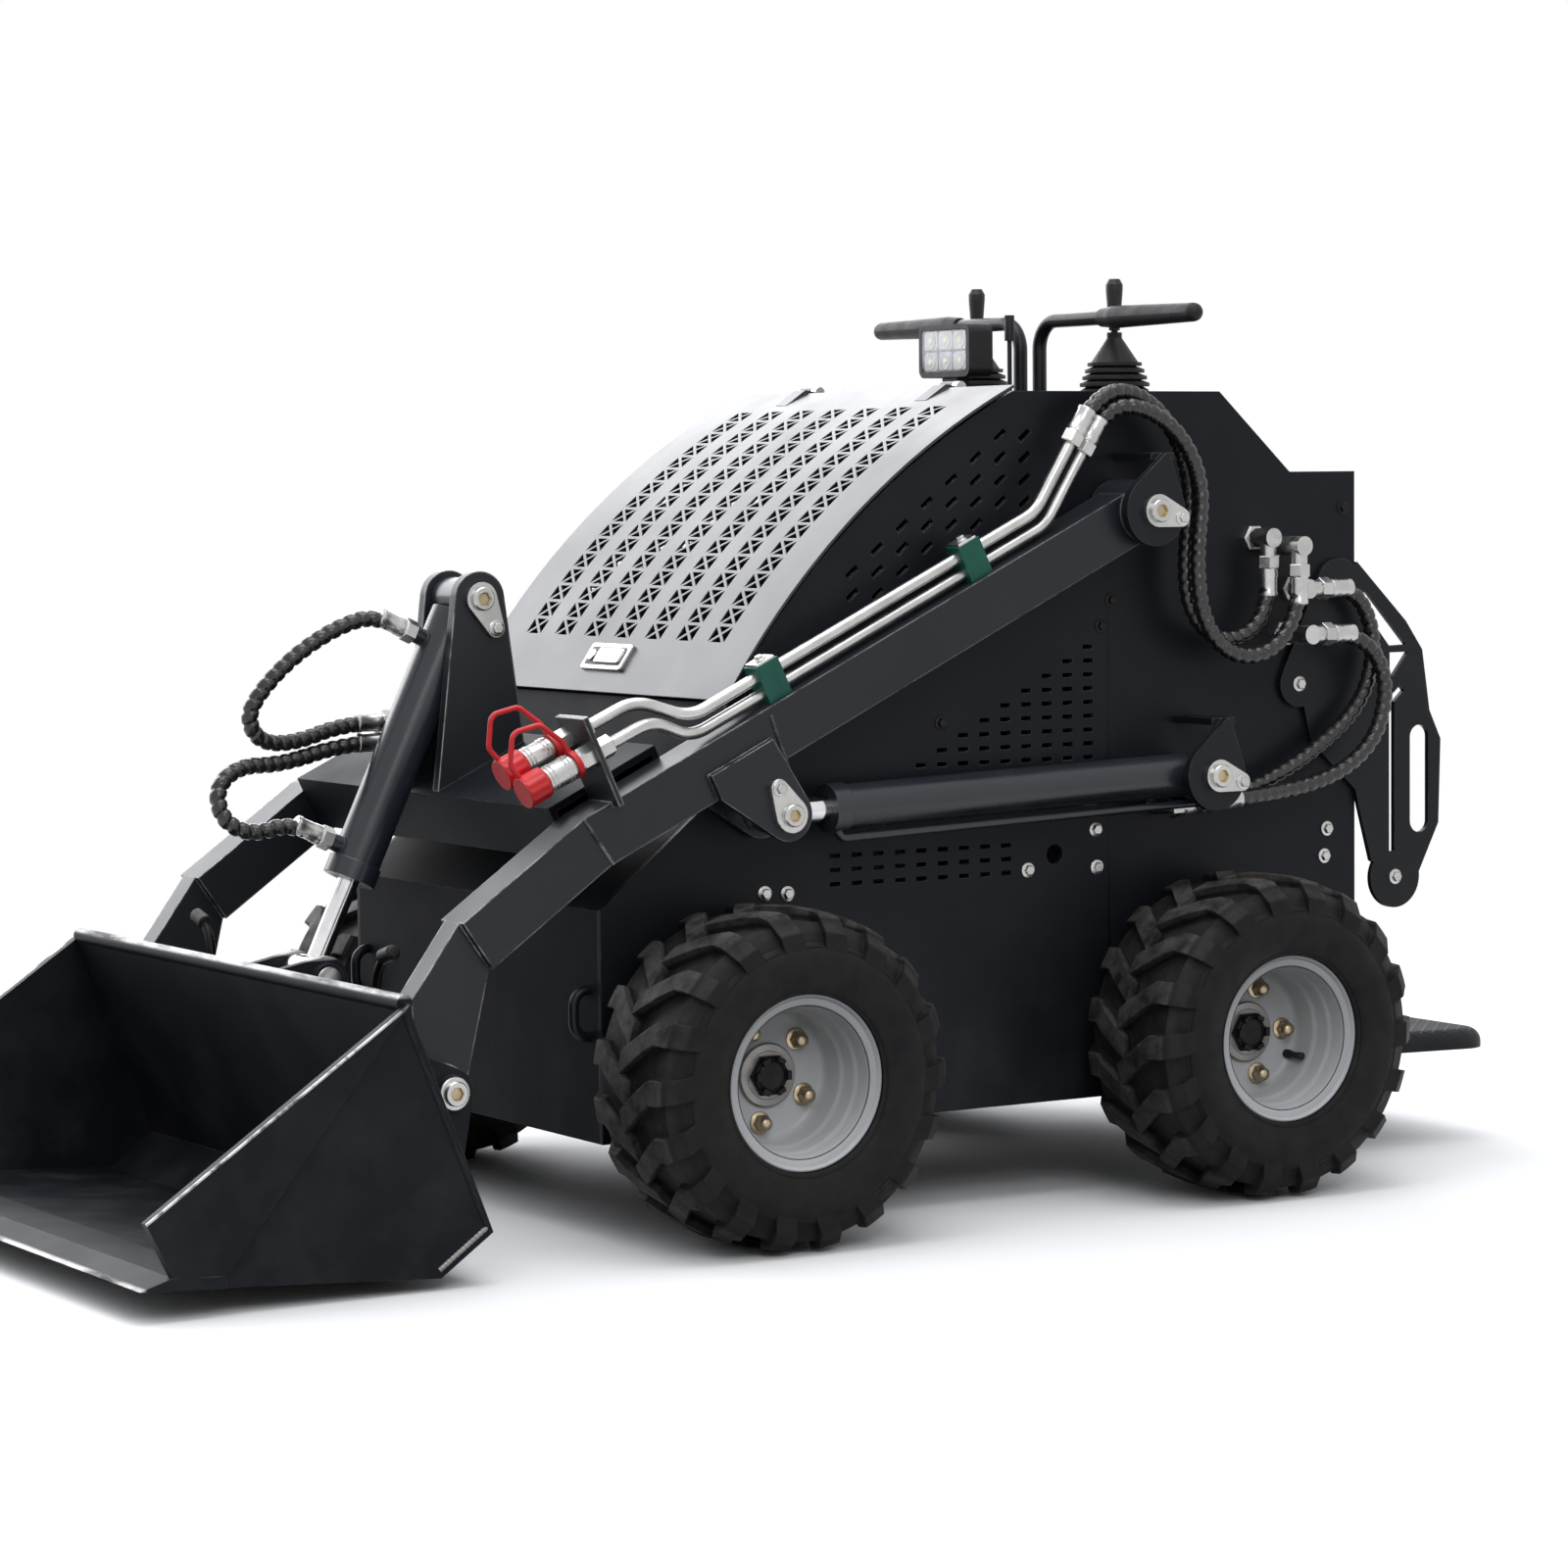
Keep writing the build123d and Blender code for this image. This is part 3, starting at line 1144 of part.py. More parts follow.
def ahead(before, end, run):
    """The point a run beyond the end of a straight fitting or pipe."""
    start, tip = Vector(*before), Vector(*end)
    return tuple(tip + (tip - start).normalized() * run)


def hose_routes():
    """The corners of each hose's route, straight out of the fitting at either end."""
    upper, lower = pipe_route(1), pipe_route(-1)
    ports = body_ports()
    tilt, tower = tilt_ports(), tower_ports()
    base = [placed(lift_place(), point) for point in base_port()[-2:]]
    line = [placed(lift_place(), point) for point in rod_line()[1::-1]]
    fittings = {
        "arm_hose_upper": (upper[1::-1], ARM_HOSE_UPPER, ports[0], HOSE_RUN, HOSE_RUN),
        "arm_hose_lower": (lower[1::-1], ARM_HOSE_LOWER, ports[1], HOSE_RUN, HOSE_RUN),
        "lift_hose_base": (ports[2], LIFT_HOSE_BASE, base, LIFT_HOSE_RUN, BASE_HOSE_RUN),
        "lift_hose_rod": (ports[3], LIFT_HOSE_ROD, line, LIFT_HOSE_RUN, LINE_HOSE_RUN),
        "tilt_hose_base": (tilt[0], TILT_HOSE_BASE, tower[0], TILT_HOSE_RUN, TOWER_PORT_LEG),
        "tilt_hose_rod": (tilt[1], TILT_HOSE_ROD, tower[1], TILT_HOSE_RUN, TOWER_PORT_LEG),
    }
    routes = {}
    for name, (start, middle, end, first, last) in fittings.items():
        routes[name] = [start[1], ahead(*start, first), *middle, ahead(*end, last), end[1]]
    return routes


def bends(route):
    """The bend at each corner of a route, as wide as its shorter run allows."""
    radii = []
    points = [Vector(*point) for point in route]
    for before, corner, after in zip(points, points[1:], points[2:]):
        into, out = corner - before, after - corner
        half_turn = math.radians(into.get_angle(out)) / 2
        radii.append(BEND_SHARE * min(into.length, out.length) / math.tan(half_turn))
    return radii


# Bucket

def floor_point(x, rise=0.0):
    """A point above the underside of the bucket's floor, at a distance along it from the lip."""
    return along(BUCKET_LIP, BUCKET_FLOOR, x, -rise)


def bucket_shell():
    """Floor, heel and back of the bucket, bent from one sheet, with a round bar along the top."""
    line = [BUCKET_TOP, BUCKET_HEEL, BUCKET_FLOOR, floor_point(EDGE_DEPTH)]
    shell = upright(sheet(line, BUCKET_SHEET), -SHELL_SIDE, SHELL_SIDE)
    return shell + bar(BUCKET_TOP, TOP_BAR_RADIUS, -SHELL_SIDE, SHELL_SIDE)


def bucket_sides():
    """The two side plates of the bucket, each with a wear strip along its front edge."""
    edge = [floor_point(EDGE_DEPTH, EDGE_SHEET), floor_point(EDGE_BEVEL, EDGE_SHEET)]
    front = edge + [BUCKET_CHEEK, BUCKET_TOP]
    plate = outline([BUCKET_HEEL, BUCKET_FLOOR, floor_point(EDGE_DEPTH), *front])
    strip = upright(outline(front), PLATE_SIDE, BUCKET_SIDE)
    return both_sides(upright(plate, SHELL_SIDE, PLATE_SIDE) + strip)


def cutting_edge():
    """The bevelled bar along the front of the floor."""
    section = outline([
        BUCKET_LIP, floor_point(EDGE_DEPTH), floor_point(EDGE_DEPTH, EDGE_SHEET),
        floor_point(EDGE_BEVEL, EDGE_SHEET),
    ])
    return upright(section, -BUCKET_SIDE, BUCKET_SIDE)


def hitch_frame():
    """The hitch plate on the bucket's back, with the ears of the pivots and the tilt rod."""
    low, high = between(BUCKET_HEEL, BUCKET_TOP, HITCH_LOW), between(BUCKET_HEEL, BUCKET_TOP, HITCH_HIGH)
    inner_ear = ARM_INNER - EAR_GAP
    plate = outline([low, high, *shifted([low, high], HITCH_SHEET)[::-1]])
    hitch = upright(plate, -inner_ear, inner_ear)
    pivot_foot = outline([low, between(low, high, PIVOT_EAR_SHARE), BUCKET_PIVOT])
    pivot_ear = hull(pivot_foot, disc(BUCKET_PIVOT, EAR_RADIUS))
    rod_foot = outline([between(low, high, ROD_EAR_SHARE), high, TILT_ROD_PIN])
    rod_ear = hull(rod_foot, disc(TILT_ROD_PIN, EAR_RADIUS))
    outer_ear = ARM_OUTER + EAR_GAP
    tilt_ear = TOWER_GAP / 2
    ears = upright(pivot_ear, inner_ear - EAR_SHEET, inner_ear)
    ears += upright(pivot_ear, outer_ear, outer_ear + EAR_SHEET)
    ears += headed_pin(BUCKET_PIVOT, PIN_RADIUS, inner_ear - EAR_SHEET, outer_ear + EAR_SHEET)
    ears += headed_pin(TILT_ROD_PIN, PIN_RADIUS, tilt_ear, tilt_ear + EAR_SHEET)
    ears += upright(rod_ear, tilt_ear, tilt_ear + EAR_SHEET)
    return hitch + both_sides(ears)


def wheel_piece(piece, x, side):
    """A wheel's piece at its axle, mirrored for the right side."""
    turned = piece if side > 0 else mirror(piece, about=Plane.XZ)
    return Pos(x, side * WHEEL_Y, WHEEL_RADIUS) * turned


def pieces():
    """Every piece of the machine by name."""
    made = {
        "side_plates": side_plates(),
        "chassis_tub": chassis_tub(),
        "rear_panel": rear_panel(),
        "console_top": console_top(),
        "hood": hood(),
        "hood_latch": hood_latch(),
        "hood_hinges": hood_hinges(),
        "engine_block": engine_block(),
        "hydraulic_tank": hydraulic_tank(),
        "axle_stubs": axle_stubs(),
        "arm_brackets": arm_brackets(),
        "bracket_pins": bracket_pins(),
        "rear_guards": rear_guards(),
        "step_platform": step_platform(),
        "handlebar": handlebar(),
        "handlebar_grips": handlebar_grips(),
        "joysticks": joysticks(),
        "joystick_boots": joystick_boots(),
        "work_lamp": work_lamp(),
        "hose_ports": hose_ports(),
        "tie_down_loops": tie_down_loops(),
        "lift_arms": lift_arms(),
        "arm_crossbeam": arm_crossbeam(),
        "tilt_tower": tilt_tower(),
        "tower_pin": tower_pin(),
        "arm_pipes": arm_pipes(),
        "pipe_clamps": pipe_clamps(),
        "line_fittings": line_fittings(),
        "coupler_caps": coupler_caps(),
        "tilt_barrel": tilt_barrel(),
        "tilt_rod": tilt_rod(),
        "bucket_shell": bucket_shell(),
        "bucket_sides": bucket_sides(),
        "cutting_edge": cutting_edge(),
        "hitch_frame": hitch_frame(),
    }
    made["lift_barrel_left"], made["lift_rod_left"] = lift_barrel(), lift_rod()
    made["lift_barrel_right"] = mirror(made["lift_barrel_left"], about=Plane.XZ)
    made["lift_rod_right"] = mirror(made["lift_rod_left"], about=Plane.XZ)
    for name, route in hose_routes().items():
        made[name] = tube(route, HOSE_RADIUS, bends(route))
    wheel_tyre, wheel_rim = tyre(), rim()
    for end, x in (("front", WHEELBASE / 2), ("rear", -WHEELBASE / 2)):
        for name, side in (("left", 1), ("right", -1)):
            made[f"tyre_{end}_{name}"] = wheel_piece(wheel_tyre, x, side)
            made[f"rim_{end}_{name}"] = wheel_piece(wheel_rim, x, side)
    return made


def main():
    os.makedirs("parts", exist_ok=True)
    for name, piece in pieces().items():
        export_step(Pos(-ORIGIN_X, 0, 0) * piece, f"parts/{name}.step")
    for name, route in hose_routes().items():
        print(name, "bends", [round(radius) for radius in bends(route)])


if __name__ == "__main__":
    main()
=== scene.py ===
import json
import math

import bmesh
import bpy
from mathutils import Matrix, Vector
from mathutils.geometry import convex_hull_2d


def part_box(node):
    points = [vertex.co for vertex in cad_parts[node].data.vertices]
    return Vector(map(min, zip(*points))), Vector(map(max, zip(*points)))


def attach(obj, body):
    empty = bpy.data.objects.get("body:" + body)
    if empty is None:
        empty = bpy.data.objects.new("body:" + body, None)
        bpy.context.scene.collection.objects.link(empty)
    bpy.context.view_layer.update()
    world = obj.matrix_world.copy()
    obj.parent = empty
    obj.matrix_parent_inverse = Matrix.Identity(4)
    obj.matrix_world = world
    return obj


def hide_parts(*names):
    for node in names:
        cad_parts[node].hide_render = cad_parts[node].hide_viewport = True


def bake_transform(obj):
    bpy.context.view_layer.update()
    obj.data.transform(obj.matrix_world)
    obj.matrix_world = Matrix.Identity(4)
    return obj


# Compact stand-on skid steer loader, in metres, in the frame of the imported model.
# +X points to the bucket, +Y to the machine's left and +Z up.

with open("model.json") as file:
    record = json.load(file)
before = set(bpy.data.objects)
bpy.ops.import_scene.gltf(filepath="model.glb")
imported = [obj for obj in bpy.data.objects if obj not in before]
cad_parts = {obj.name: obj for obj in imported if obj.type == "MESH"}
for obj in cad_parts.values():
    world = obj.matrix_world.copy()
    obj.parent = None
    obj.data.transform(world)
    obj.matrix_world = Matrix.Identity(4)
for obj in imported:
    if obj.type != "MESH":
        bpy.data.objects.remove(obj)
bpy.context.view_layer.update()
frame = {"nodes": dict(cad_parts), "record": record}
NODES = frame["nodes"]

# Camera, at the photograph's viewpoint
CAMERA_PLACE = Vector((3.290, 5.5025, 1.016))
CAMERA_HEADING = math.radians(-121.498)
CAMERA_DROP = math.radians(3.883)
CAMERA_ROLL = math.radians(-0.54)
CAMERA_LENS = 101.96
CAMERA_SENSOR = 36.0

# Hoses: the bodies that the two ends ride on, the point from which the hose bends, and the route's points
HOSE_GUARD_RADIUS = 0.0117
HOSE_GROOVE = 0.0026
HOSE_PITCH = 0.0165
HOSE_STEPS = 24
HOSES = {
    "arm_hose_upper": ("lift_frame", "chassis", 1, (
        (-0.3042, 0.42, 1.0786), (-0.3337, 0.42, 1.125), (-0.399, 0.412, 1.146), (-0.477, 0.406, 1.104),
        (-0.521, 0.406, 1.012), (-0.505, 0.406, 0.908), (-0.511, 0.406, 0.832), (-0.557, 0.406, 0.784),
        (-0.617, 0.406, 0.788), (-0.655, 0.406, 0.833), (-0.655, 0.406, 0.888),
    )),
    "arm_hose_lower": ("lift_frame", "chassis", 1, (
        (-0.3244, 0.42, 1.0657), (-0.354, 0.42, 1.1121), (-0.407, 0.428, 1.122), (-0.475, 0.434, 1.086),
        (-0.519, 0.434, 1.008), (-0.505, 0.434, 0.908), (-0.515, 0.434, 0.816), (-0.563, 0.434, 0.762),
        (-0.637, 0.434, 0.762), (-0.689, 0.434, 0.821), (-0.689, 0.434, 0.876),
    )),
    "lift_hose_base": ("chassis", "lift_barrel_left", 3, (
        (-0.767, 0.4, 0.855), (-0.807, 0.4, 0.855), (-0.842, 0.4, 0.822), (-0.856, 0.4, 0.76),
        (-0.831, 0.4, 0.684), (-0.749, 0.4, 0.622), (-0.649, 0.4, 0.574), (-0.5615, 0.4, 0.5516),
        (-0.4956, 0.4, 0.5493),
    )),
    "lift_hose_rod": ("chassis", "lift_barrel_left", 3, (
        (-0.751, 0.428, 0.79), (-0.791, 0.428, 0.79), (-0.841, 0.428, 0.757), (-0.856, 0.428, 0.696),
        (-0.831, 0.428, 0.628), (-0.759, 0.426, 0.58), (-0.6363, 0.423, 0.5592), (-0.5464, 0.423, 0.5561),
    )),
    "tilt_hose_base": ("tilt_barrel", "lift_frame", 1, (
        (0.5309, 0.0, 0.8195), (0.5738, 0.0, 0.8397), (0.627, -0.006, 0.826), (0.687, -0.016, 0.79),
        (0.733, -0.028, 0.744), (0.755, -0.036, 0.704), (0.733, -0.044, 0.668), (0.675, -0.056, 0.664),
        (0.591, -0.07, 0.688), (0.531, -0.07, 0.688),
    )),
    "tilt_hose_rod": ("tilt_barrel", "lift_frame", 1, (
        (0.6631, 0.0, 0.5391), (0.7061, 0.0, 0.5594), (0.763, -0.008, 0.544), (0.803, -0.016, 0.566),
        (0.807, -0.026, 0.61), (0.767, -0.036, 0.638), (0.697, -0.05, 0.636), (0.591, -0.07, 0.66),
        (0.531, -0.07, 0.66),
    )),
}

# Lights: where each stands, where it points, its width in metres and its power in watts
LIGHTS = {
    "key": ((1.6, 4.6, 3.4), (0.0, 0.3, 0.5), 2.2, 56.0),
    "top": ((0.4, 0.4, 4.6), (0.2, 0.0, 0.6), 3.2, 110.0),
    "back_front": ((1.8, -4.8, 3.0), (0.2, 0.0, 0.8), 3.6, 165.0),
    "back_rear": ((-1.9, -4.8, 3.0), (-0.3, 0.0, 0.9), 3.6, 145.0),
}
LIGHT_COLOUR = (0.96, 0.965, 1.0)
SKY_COLOUR = (0.95, 0.975, 1.0)
SKY_BRIGHT = 1.1
SKY_DARK = 0.15
SKY_SPAN = (-0.1, 0.9)
FLOOR_SIZE = 12.0
FLOOR_PALE = (0.86, 0.86, 0.86)
FLOOR_DIM = (0.1, 0.1, 0.1)
FLOOR_FADE = (1.9, 3.6)

# Colours of what shows through the paint or lies on it; the scratched steel also colours the bucket's painted
# highlight lines
BARE_STEEL = (0.42, 0.42, 0.41)
SCRATCH_AND_HIGHLIGHT_STEEL = (0.5, 0.5, 0.49)
DUST = (0.17, 0.165, 0.15)

# Places and sizes on the machine; x is measured from the middle of the wheelbase
WHEELBASE_MIDDLE = -0.159
WHEEL_OFFSET = 0.4
WHEEL_X = {"front": WHEEL_OFFSET, "rear": -WHEEL_OFFSET}
AXLE_HEIGHT = 0.2285
WHEEL_Y = 0.485
DISC_Y = 0.455
BODY_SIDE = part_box("side_plates")[1][1]
GUARD_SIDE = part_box("rear_guards")[1][1]
KEEPER_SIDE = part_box("bracket_pins")[1][1]
ARM_SIDE = 0.445
GUSSET_SIDE = 0.455
EAR_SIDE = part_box("hitch_frame")[1][1]
TOWER_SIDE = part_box("tower_pin")[1][1]
BRIGHT_BOLTS = (
    (0.334, 0.459), (0.298, 0.457), (-0.1, 0.468), (-0.219, 0.466), (-0.217, 0.52), (-0.629, 0.461),
    (-0.634, 0.501),
)
DARK_BOLTS = ((-0.228, 0.809), (-0.246, 0.845), (-0.664, 0.972), (0.045, 0.681))
GUARD_BOLTS = ((-0.652, 0.856), (-0.577, 0.716), (-0.756, 0.424))
BOLT_SIZE = 0.0075
DARK_BOLT_SIZE = 0.007
GUARD_BOLT_SIZE = 0.0078
TOWER_BOLT_SIZE = 0.008
CLAMP_BOLT_SIZE = 0.006
PIN_SCREW_SIZE = 0.0165
ROD_SCREW_SIZE = 0.0155
ARM_PIVOT = (-0.25, 0.972)
ARM_ELBOW = (0.635, 0.55)
ARM_HALF = 0.0375
LIFT_BASE_PIN = (-0.355, 0.596)
LIFT_ROD_PIN = (0.348, 0.572)
BUCKET_PIVOT = (0.864, 0.24)
TOWER_PIN = (0.6, 0.86)
TILT_ROD_PIN = (0.842, 0.347)
KEEPER_REACH = (-0.039, -0.01)
TOWER_KEEPER_REACH = (-0.021, -0.041)
ROD_KEEPER_REACH = (0.02, 0.037)
ROD_KEEPER_RISE = 0.0095
DISC_RISE = 0.0195
LUG_NUT_CIRCLE = 0.0645
LUG_NUTS = 5
LUG_NUT_TURN = {"front": math.radians(64), "rear": math.radians(36)}
VALVE_CIRCLE = 0.082
VALVE_TURN = {"front": math.radians(42), "rear": math.radians(207)}
GRIP_TIP = (-0.362, 0.408, 1.252)
GRIP_RADIUS = 0.0135
HOSE_PORTS = ((-0.496, 0.93), (-0.53, 0.918), (-0.566, 0.855), (-0.55, 0.79))
CLAMP_PLACES = (0.005, 0.331)
CLAMP_TOP = ARM_HALF + 0.053
CLAMP_PLATE = 0.0035
PIPE_Y = 0.42
COUPLER_SHEET = 0.008
ARM_WELDS = (((0.37, 0.706), (0.34, 0.626)), ((0.6566, 0.5807), (0.6134, 0.5193)))
ARM_BEAD = (0.0032, 0.0008, 0.005)
BUCKET_BEAD = (0.0042, 0.0009, 0.006)
TILT_EAR_SIDE = 0.06
HITCH_LEVER = ((0.915, 0.262, 0.3), (0.872, 0.262, 0.305), (0.87, 0.262, 0.395), (0.87, 0.31, 0.408))
BUCKET_TOP = (0.96, 0.368)
BUCKET_SIDE = 0.54
# A bare-steel bead that paints a reflection line, then the weld from the bucket's top to its heel
BUCKET_WELD_AND_REFLECTION_BEADS = (((0.853, 0.0745), (0.921, 0.0265)), ((0.966, 0.358), (0.8525, 0.0745)))
BUCKET_BEAD_SIDE = BUCKET_SIDE - 0.0095
BUCKET_CHEEK = (1.322, 0.124)
SEAM_X = -0.24
SEAM_TOP = 0.86
LAMP_FACE = (-0.213, 1.208)
LAMP_OPENING = (0.118, 0.062)
LAMP_PITCH = (0.0385, 0.0152)
LAMP_PLATE = 0.0008
HOOD_CENTRE = (-0.5872, 0.1033)
HOOD_LATCH_ANGLE = 0.6096
HOOD_LATCH_RADIUS = 1.166

# Places in the frame itself: each hard pipe's last bend and end, and where the bare-steel colour begins and
# is full, of the painted highlight line on the bucket's bar and of the cutting edge's lip, which is worn and
# also painted as a highlight line
PIPE_ENDS = (
    ((0.3944, 0.4, 0.7301), (0.4867, 0.4, 0.6881)),
    ((0.393, 0.44, 0.7044), (0.4767, 0.44, 0.6663)),
)
# The painted highlight line along the top of the bucket's bar
BUCKET_BAR_HIGHLIGHT = (0.3725, 0.3755)
# The cutting edge's lip: worn bare steel, also painted as a highlight line
LIP_WEAR_AND_HIGHLIGHT = (1.163, 1.168)

# Faces that meet at more than this angle keep a sharp edge between them
SHARP_ANGLE = math.radians(34)


def make_camera():
    """The camera where the photograph was taken from."""
    ahead = Vector((
        math.cos(CAMERA_HEADING) * math.cos(CAMERA_DROP),
        math.sin(CAMERA_HEADING) * math.cos(CAMERA_DROP),
        -math.sin(CAMERA_DROP),
    ))
    level = Vector((math.sin(CAMERA_HEADING), -math.cos(CAMERA_HEADING), 0.0))
    upward = level.cross(ahead)
    right = level * math.cos(CAMERA_ROLL) + upward * math.sin(CAMERA_ROLL)
    top = upward * math.cos(CAMERA_ROLL) - level * math.sin(CAMERA_ROLL)
    data = bpy.data.cameras.new("camera")
    data.lens = CAMERA_LENS
    data.sensor_width = CAMERA_SENSOR
    data.sensor_fit = "HORIZONTAL"
    data.clip_end = 100.0
    camera = bpy.data.objects.new("camera", data)
    turn = Matrix((right, top, -ahead)).transposed()
    camera.matrix_world = Matrix.Translation(CAMERA_PLACE) @ turn.to_4x4()
    bpy.context.scene.collection.objects.link(camera)
    bpy.context.scene.camera = camera


# Placements: each has its own x, y and z directions as columns

def placement(point, x_way, y_way, z_way):
    """A matrix that puts a shape's own axes along three directions at a point."""
    turn = Matrix((x_way, y_way, z_way)).transposed().to_4x4()
    return Matrix.Translation(point) @ turn


def on_side(x, y, z, side=1):
    """On an upright face that looks out to one side: own z outwards, x forward and y up."""
    point = Vector((x + WHEELBASE_MIDDLE, side * y, z))
    return placement(point, Vector((1, 0, 0)), Vector((0, 0, 1)), Vector((0, side, 0)))


def along(point, way):
    """At a point with its own z along a direction."""
    z_way = Vector(way).normalized()
    helper = Vector((0, 1, 0)) if abs(z_way.y) < 0.8 else Vector((1, 0, 0))
    x_way = helper.cross(z_way).normalized()
    return placement(Vector(point), x_way, z_way.cross(x_way), z_way)


def on_arm(x, y, rise):
    """On the main arm at x, raised from its middle line: own x along the arm and z away from it."""
    run = Vector((ARM_ELBOW[0] - ARM_PIVOT[0], 0, ARM_ELBOW[1] - ARM_PIVOT[1]))
    share = (x - ARM_PIVOT[0]) / run.x
    x_way = run.normalized()
    z_way = Vector((-x_way.z, 0, x_way.x))
    start = Vector((ARM_PIVOT[0] + WHEELBASE_MIDDLE, y, ARM_PIVOT[1]))
    return placement(start + run * share + z_way * rise, x_way, Vector((0, 1, 0)), z_way)


def circle(radius, sides, middle=(0.0, 0.0)):
    """Points round a circle."""
    turns = [2 * math.pi * number / sides for number in range(sides)]
    return [(middle[0] + radius * math.cos(turn), middle[1] + radius * math.sin(turn)) for turn in turns]


def teardrop(big, small, reach, sides=28):
    """The outline of a band round a large circle at the origin and a small one at a reach from it."""
    points = circle(big, sides) + circle(small, sides, reach)
    return [points[number] for number in convex_hull_2d(points)]


def rounded_box(width, height, corner, sides=5):
    """The outline of a box with rounded corners."""
    points = []
    for quarter, (sign_x, sign_y) in enumerate(((1, 1), (-1, 1), (-1, -1), (1, -1))):
        for number in range(sides + 1):
            turn = (quarter + number / sides) * math.pi / 2
            x = sign_x * (width / 2 - corner) + corner * math.cos(turn)
            points.append((x, sign_y * (height / 2 - corner) + corner * math.sin(turn)))
    return points


class Piece:
    """A mesh under construction, from turned, swept and raised shapes, each with its finish."""

    def __init__(self):
        self.mesh = bmesh.new()
        self.finishes = []

    def skin(self, rings, finish, loop=False, ends=True):
        """Join rings of points with faces and close the ends if asked; a ring of one point is a tip."""
        if finish not in self.finishes:
            self.finishes.append(finish)
        index = self.finishes.index(finish)
        rows = [[self.mesh.verts.new(point) for point in ring] for ring in rings]
        faces = []
        for low, high in zip(rows, rows[1:] + rows[:1] if loop else rows[1:]):
            count = max(len(low), len(high))
            for number in range(count):
                after = (number + 1) % count
                corners = [low[number % len(low)], low[after % len(low)]]
                corners += [high[after % len(high)], high[number % len(high)]]
                faces.append(self.mesh.faces.new(list(dict.fromkeys(corners))))
        if ends and not loop:
            faces += [self.mesh.faces.new(row) for row in (rows[0], rows[-1]) if len(row) > 2]
        for face in faces:
            face.material_index = index
            face.smooth = True

    def turned(self, profile, place, finish, sides=24, loop=False, ends=True):
        """A shape turned about its own z from (radius, height) points."""
        rings = []
        for radius, height in profile:
            ring = circle(radius, sides) if radius else [(0.0, 0.0)]
            rings.append([place @ Vector((x, y, height)) for x, y in ring])
        self.skin(rings, finish, loop, ends)

    def ring(self, radius, height, thickness, place, finish, sides=48):
        """A round ring about its own z."""
        self.turned(circle(thickness, 10, (radius, height)), place, finish, sides, True)

    def raised(self, outline, place, low, high, bevel, finish):
        """A plate with a closed outline and a bevelled upper edge."""
        middle = sum((Vector(point) for point in outline), Vector((0, 0))) / len(outline)
        inner = [Vector(point) + (middle - Vector(point)).normalized() * bevel for point in outline]
        rings = []
        for points, height in ((outline, low), (outline, high - bevel), (inner, high)):
            rings.append([place @ Vector((point[0], point[1], height)) for point in points])
        self.skin(rings, finish)

    def tube(self, line, radius, finish, sides=12, groove=0.0, pitch=1.0):
        """A tube along points, with a spiral groove if it has a depth."""
        ways = [(after - before).normalized() for before, after in zip(line, line[1:])]
        ways.append(ways[-1])
        across = ways[0].orthogonal().normalized()
        rings, run = [], 0.0
        for number, (point, way) in enumerate(zip(line, ways)):
            run += (point - line[number - 1]).length if number else 0.0
            across = (across - way * across.dot(way)).normalized()
            other = way.cross(across)
            ring = []
            for x, y in circle(1.0, sides):
                phase = (run / pitch - math.atan2(y, x) / (2 * math.pi)) % 1.0
                depth = groove * max(0.0, 1.0 - abs(phase - 0.5) / 0.24)
                ring.append(point + (across * x + other * y) * (radius - depth))
            rings.append(ring)
        self.skin(rings, finish)

    def bolt(self, place, size, finish):
        """A flanged hexagon bolt head."""
        self.turned(((1.45 * size, 0), (1.45 * size, 0.16 * size), (1.2 * size, 0.3 * size)), place, finish)
        hexagon = ((size, 0.2 * size), (size, 0.85 * size), (0.86 * size, size), (0, size))
        self.turned(hexagon, place, finish, 6)

    def cup_screw(self, place, size, finishes):
        """A plated round screw head with a hexagon socket."""
        rim = ((size, 0), (size, 0.3 * size), (0.9 * size, 0.42 * size), (0.58 * size, 0.42 * size))
        self.turned(rim, place, finishes["zinc"], ends=False)
        socket = [(0.66 * size, 0.415 * size), (0.54 * size, 0.4 * size)]
        socket += [(0.5 * size, 0.16 * size), (0, 0.14 * size)]
        self.turned(socket, place, finishes["brass"], 6, ends=False)

    def made(self, name, body=None):
        """The finished object, riding on a body if one is named."""
        bmesh.ops.recalc_face_normals(self.mesh, faces=self.mesh.faces)
        data = bpy.data.meshes.new(name)
        self.mesh.to_mesh(data)
        self.mesh.free()
        data.set_sharp_from_angle(angle=SHARP_ANGLE)
        for finish in self.finishes:
            data.materials.append(finish)
        piece = bpy.data.objects.new(name, data)
        bpy.context.scene.collection.objects.link(piece)
        if body:
            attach(piece, body)
        return piece


# Hoses

def smooth_line(route):
    """Points along the smooth curve that a route's points control."""
    data = bpy.data.curves.new("route", "CURVE")
    data.dimensions = "3D"
    spline = data.splines.new("NURBS")
    spline.points.add(len(route) - 1)
    for point, place in zip(spline.points, route):
        point.co = (*place, 1.0)
    spline.order_u = 3
    spline.use_endpoint_u = True
    spline.resolution_u = HOSE_STEPS
    holder = bpy.data.objects.new("route", data)
    mesh = bpy.data.meshes.new_from_object(holder)
    line = [vertex.co.copy() for vertex in mesh.vertices]
    bpy.data.objects.remove(holder)
    bpy.data.curves.remove(data)
    bpy.data.meshes.remove(mesh)
    return line


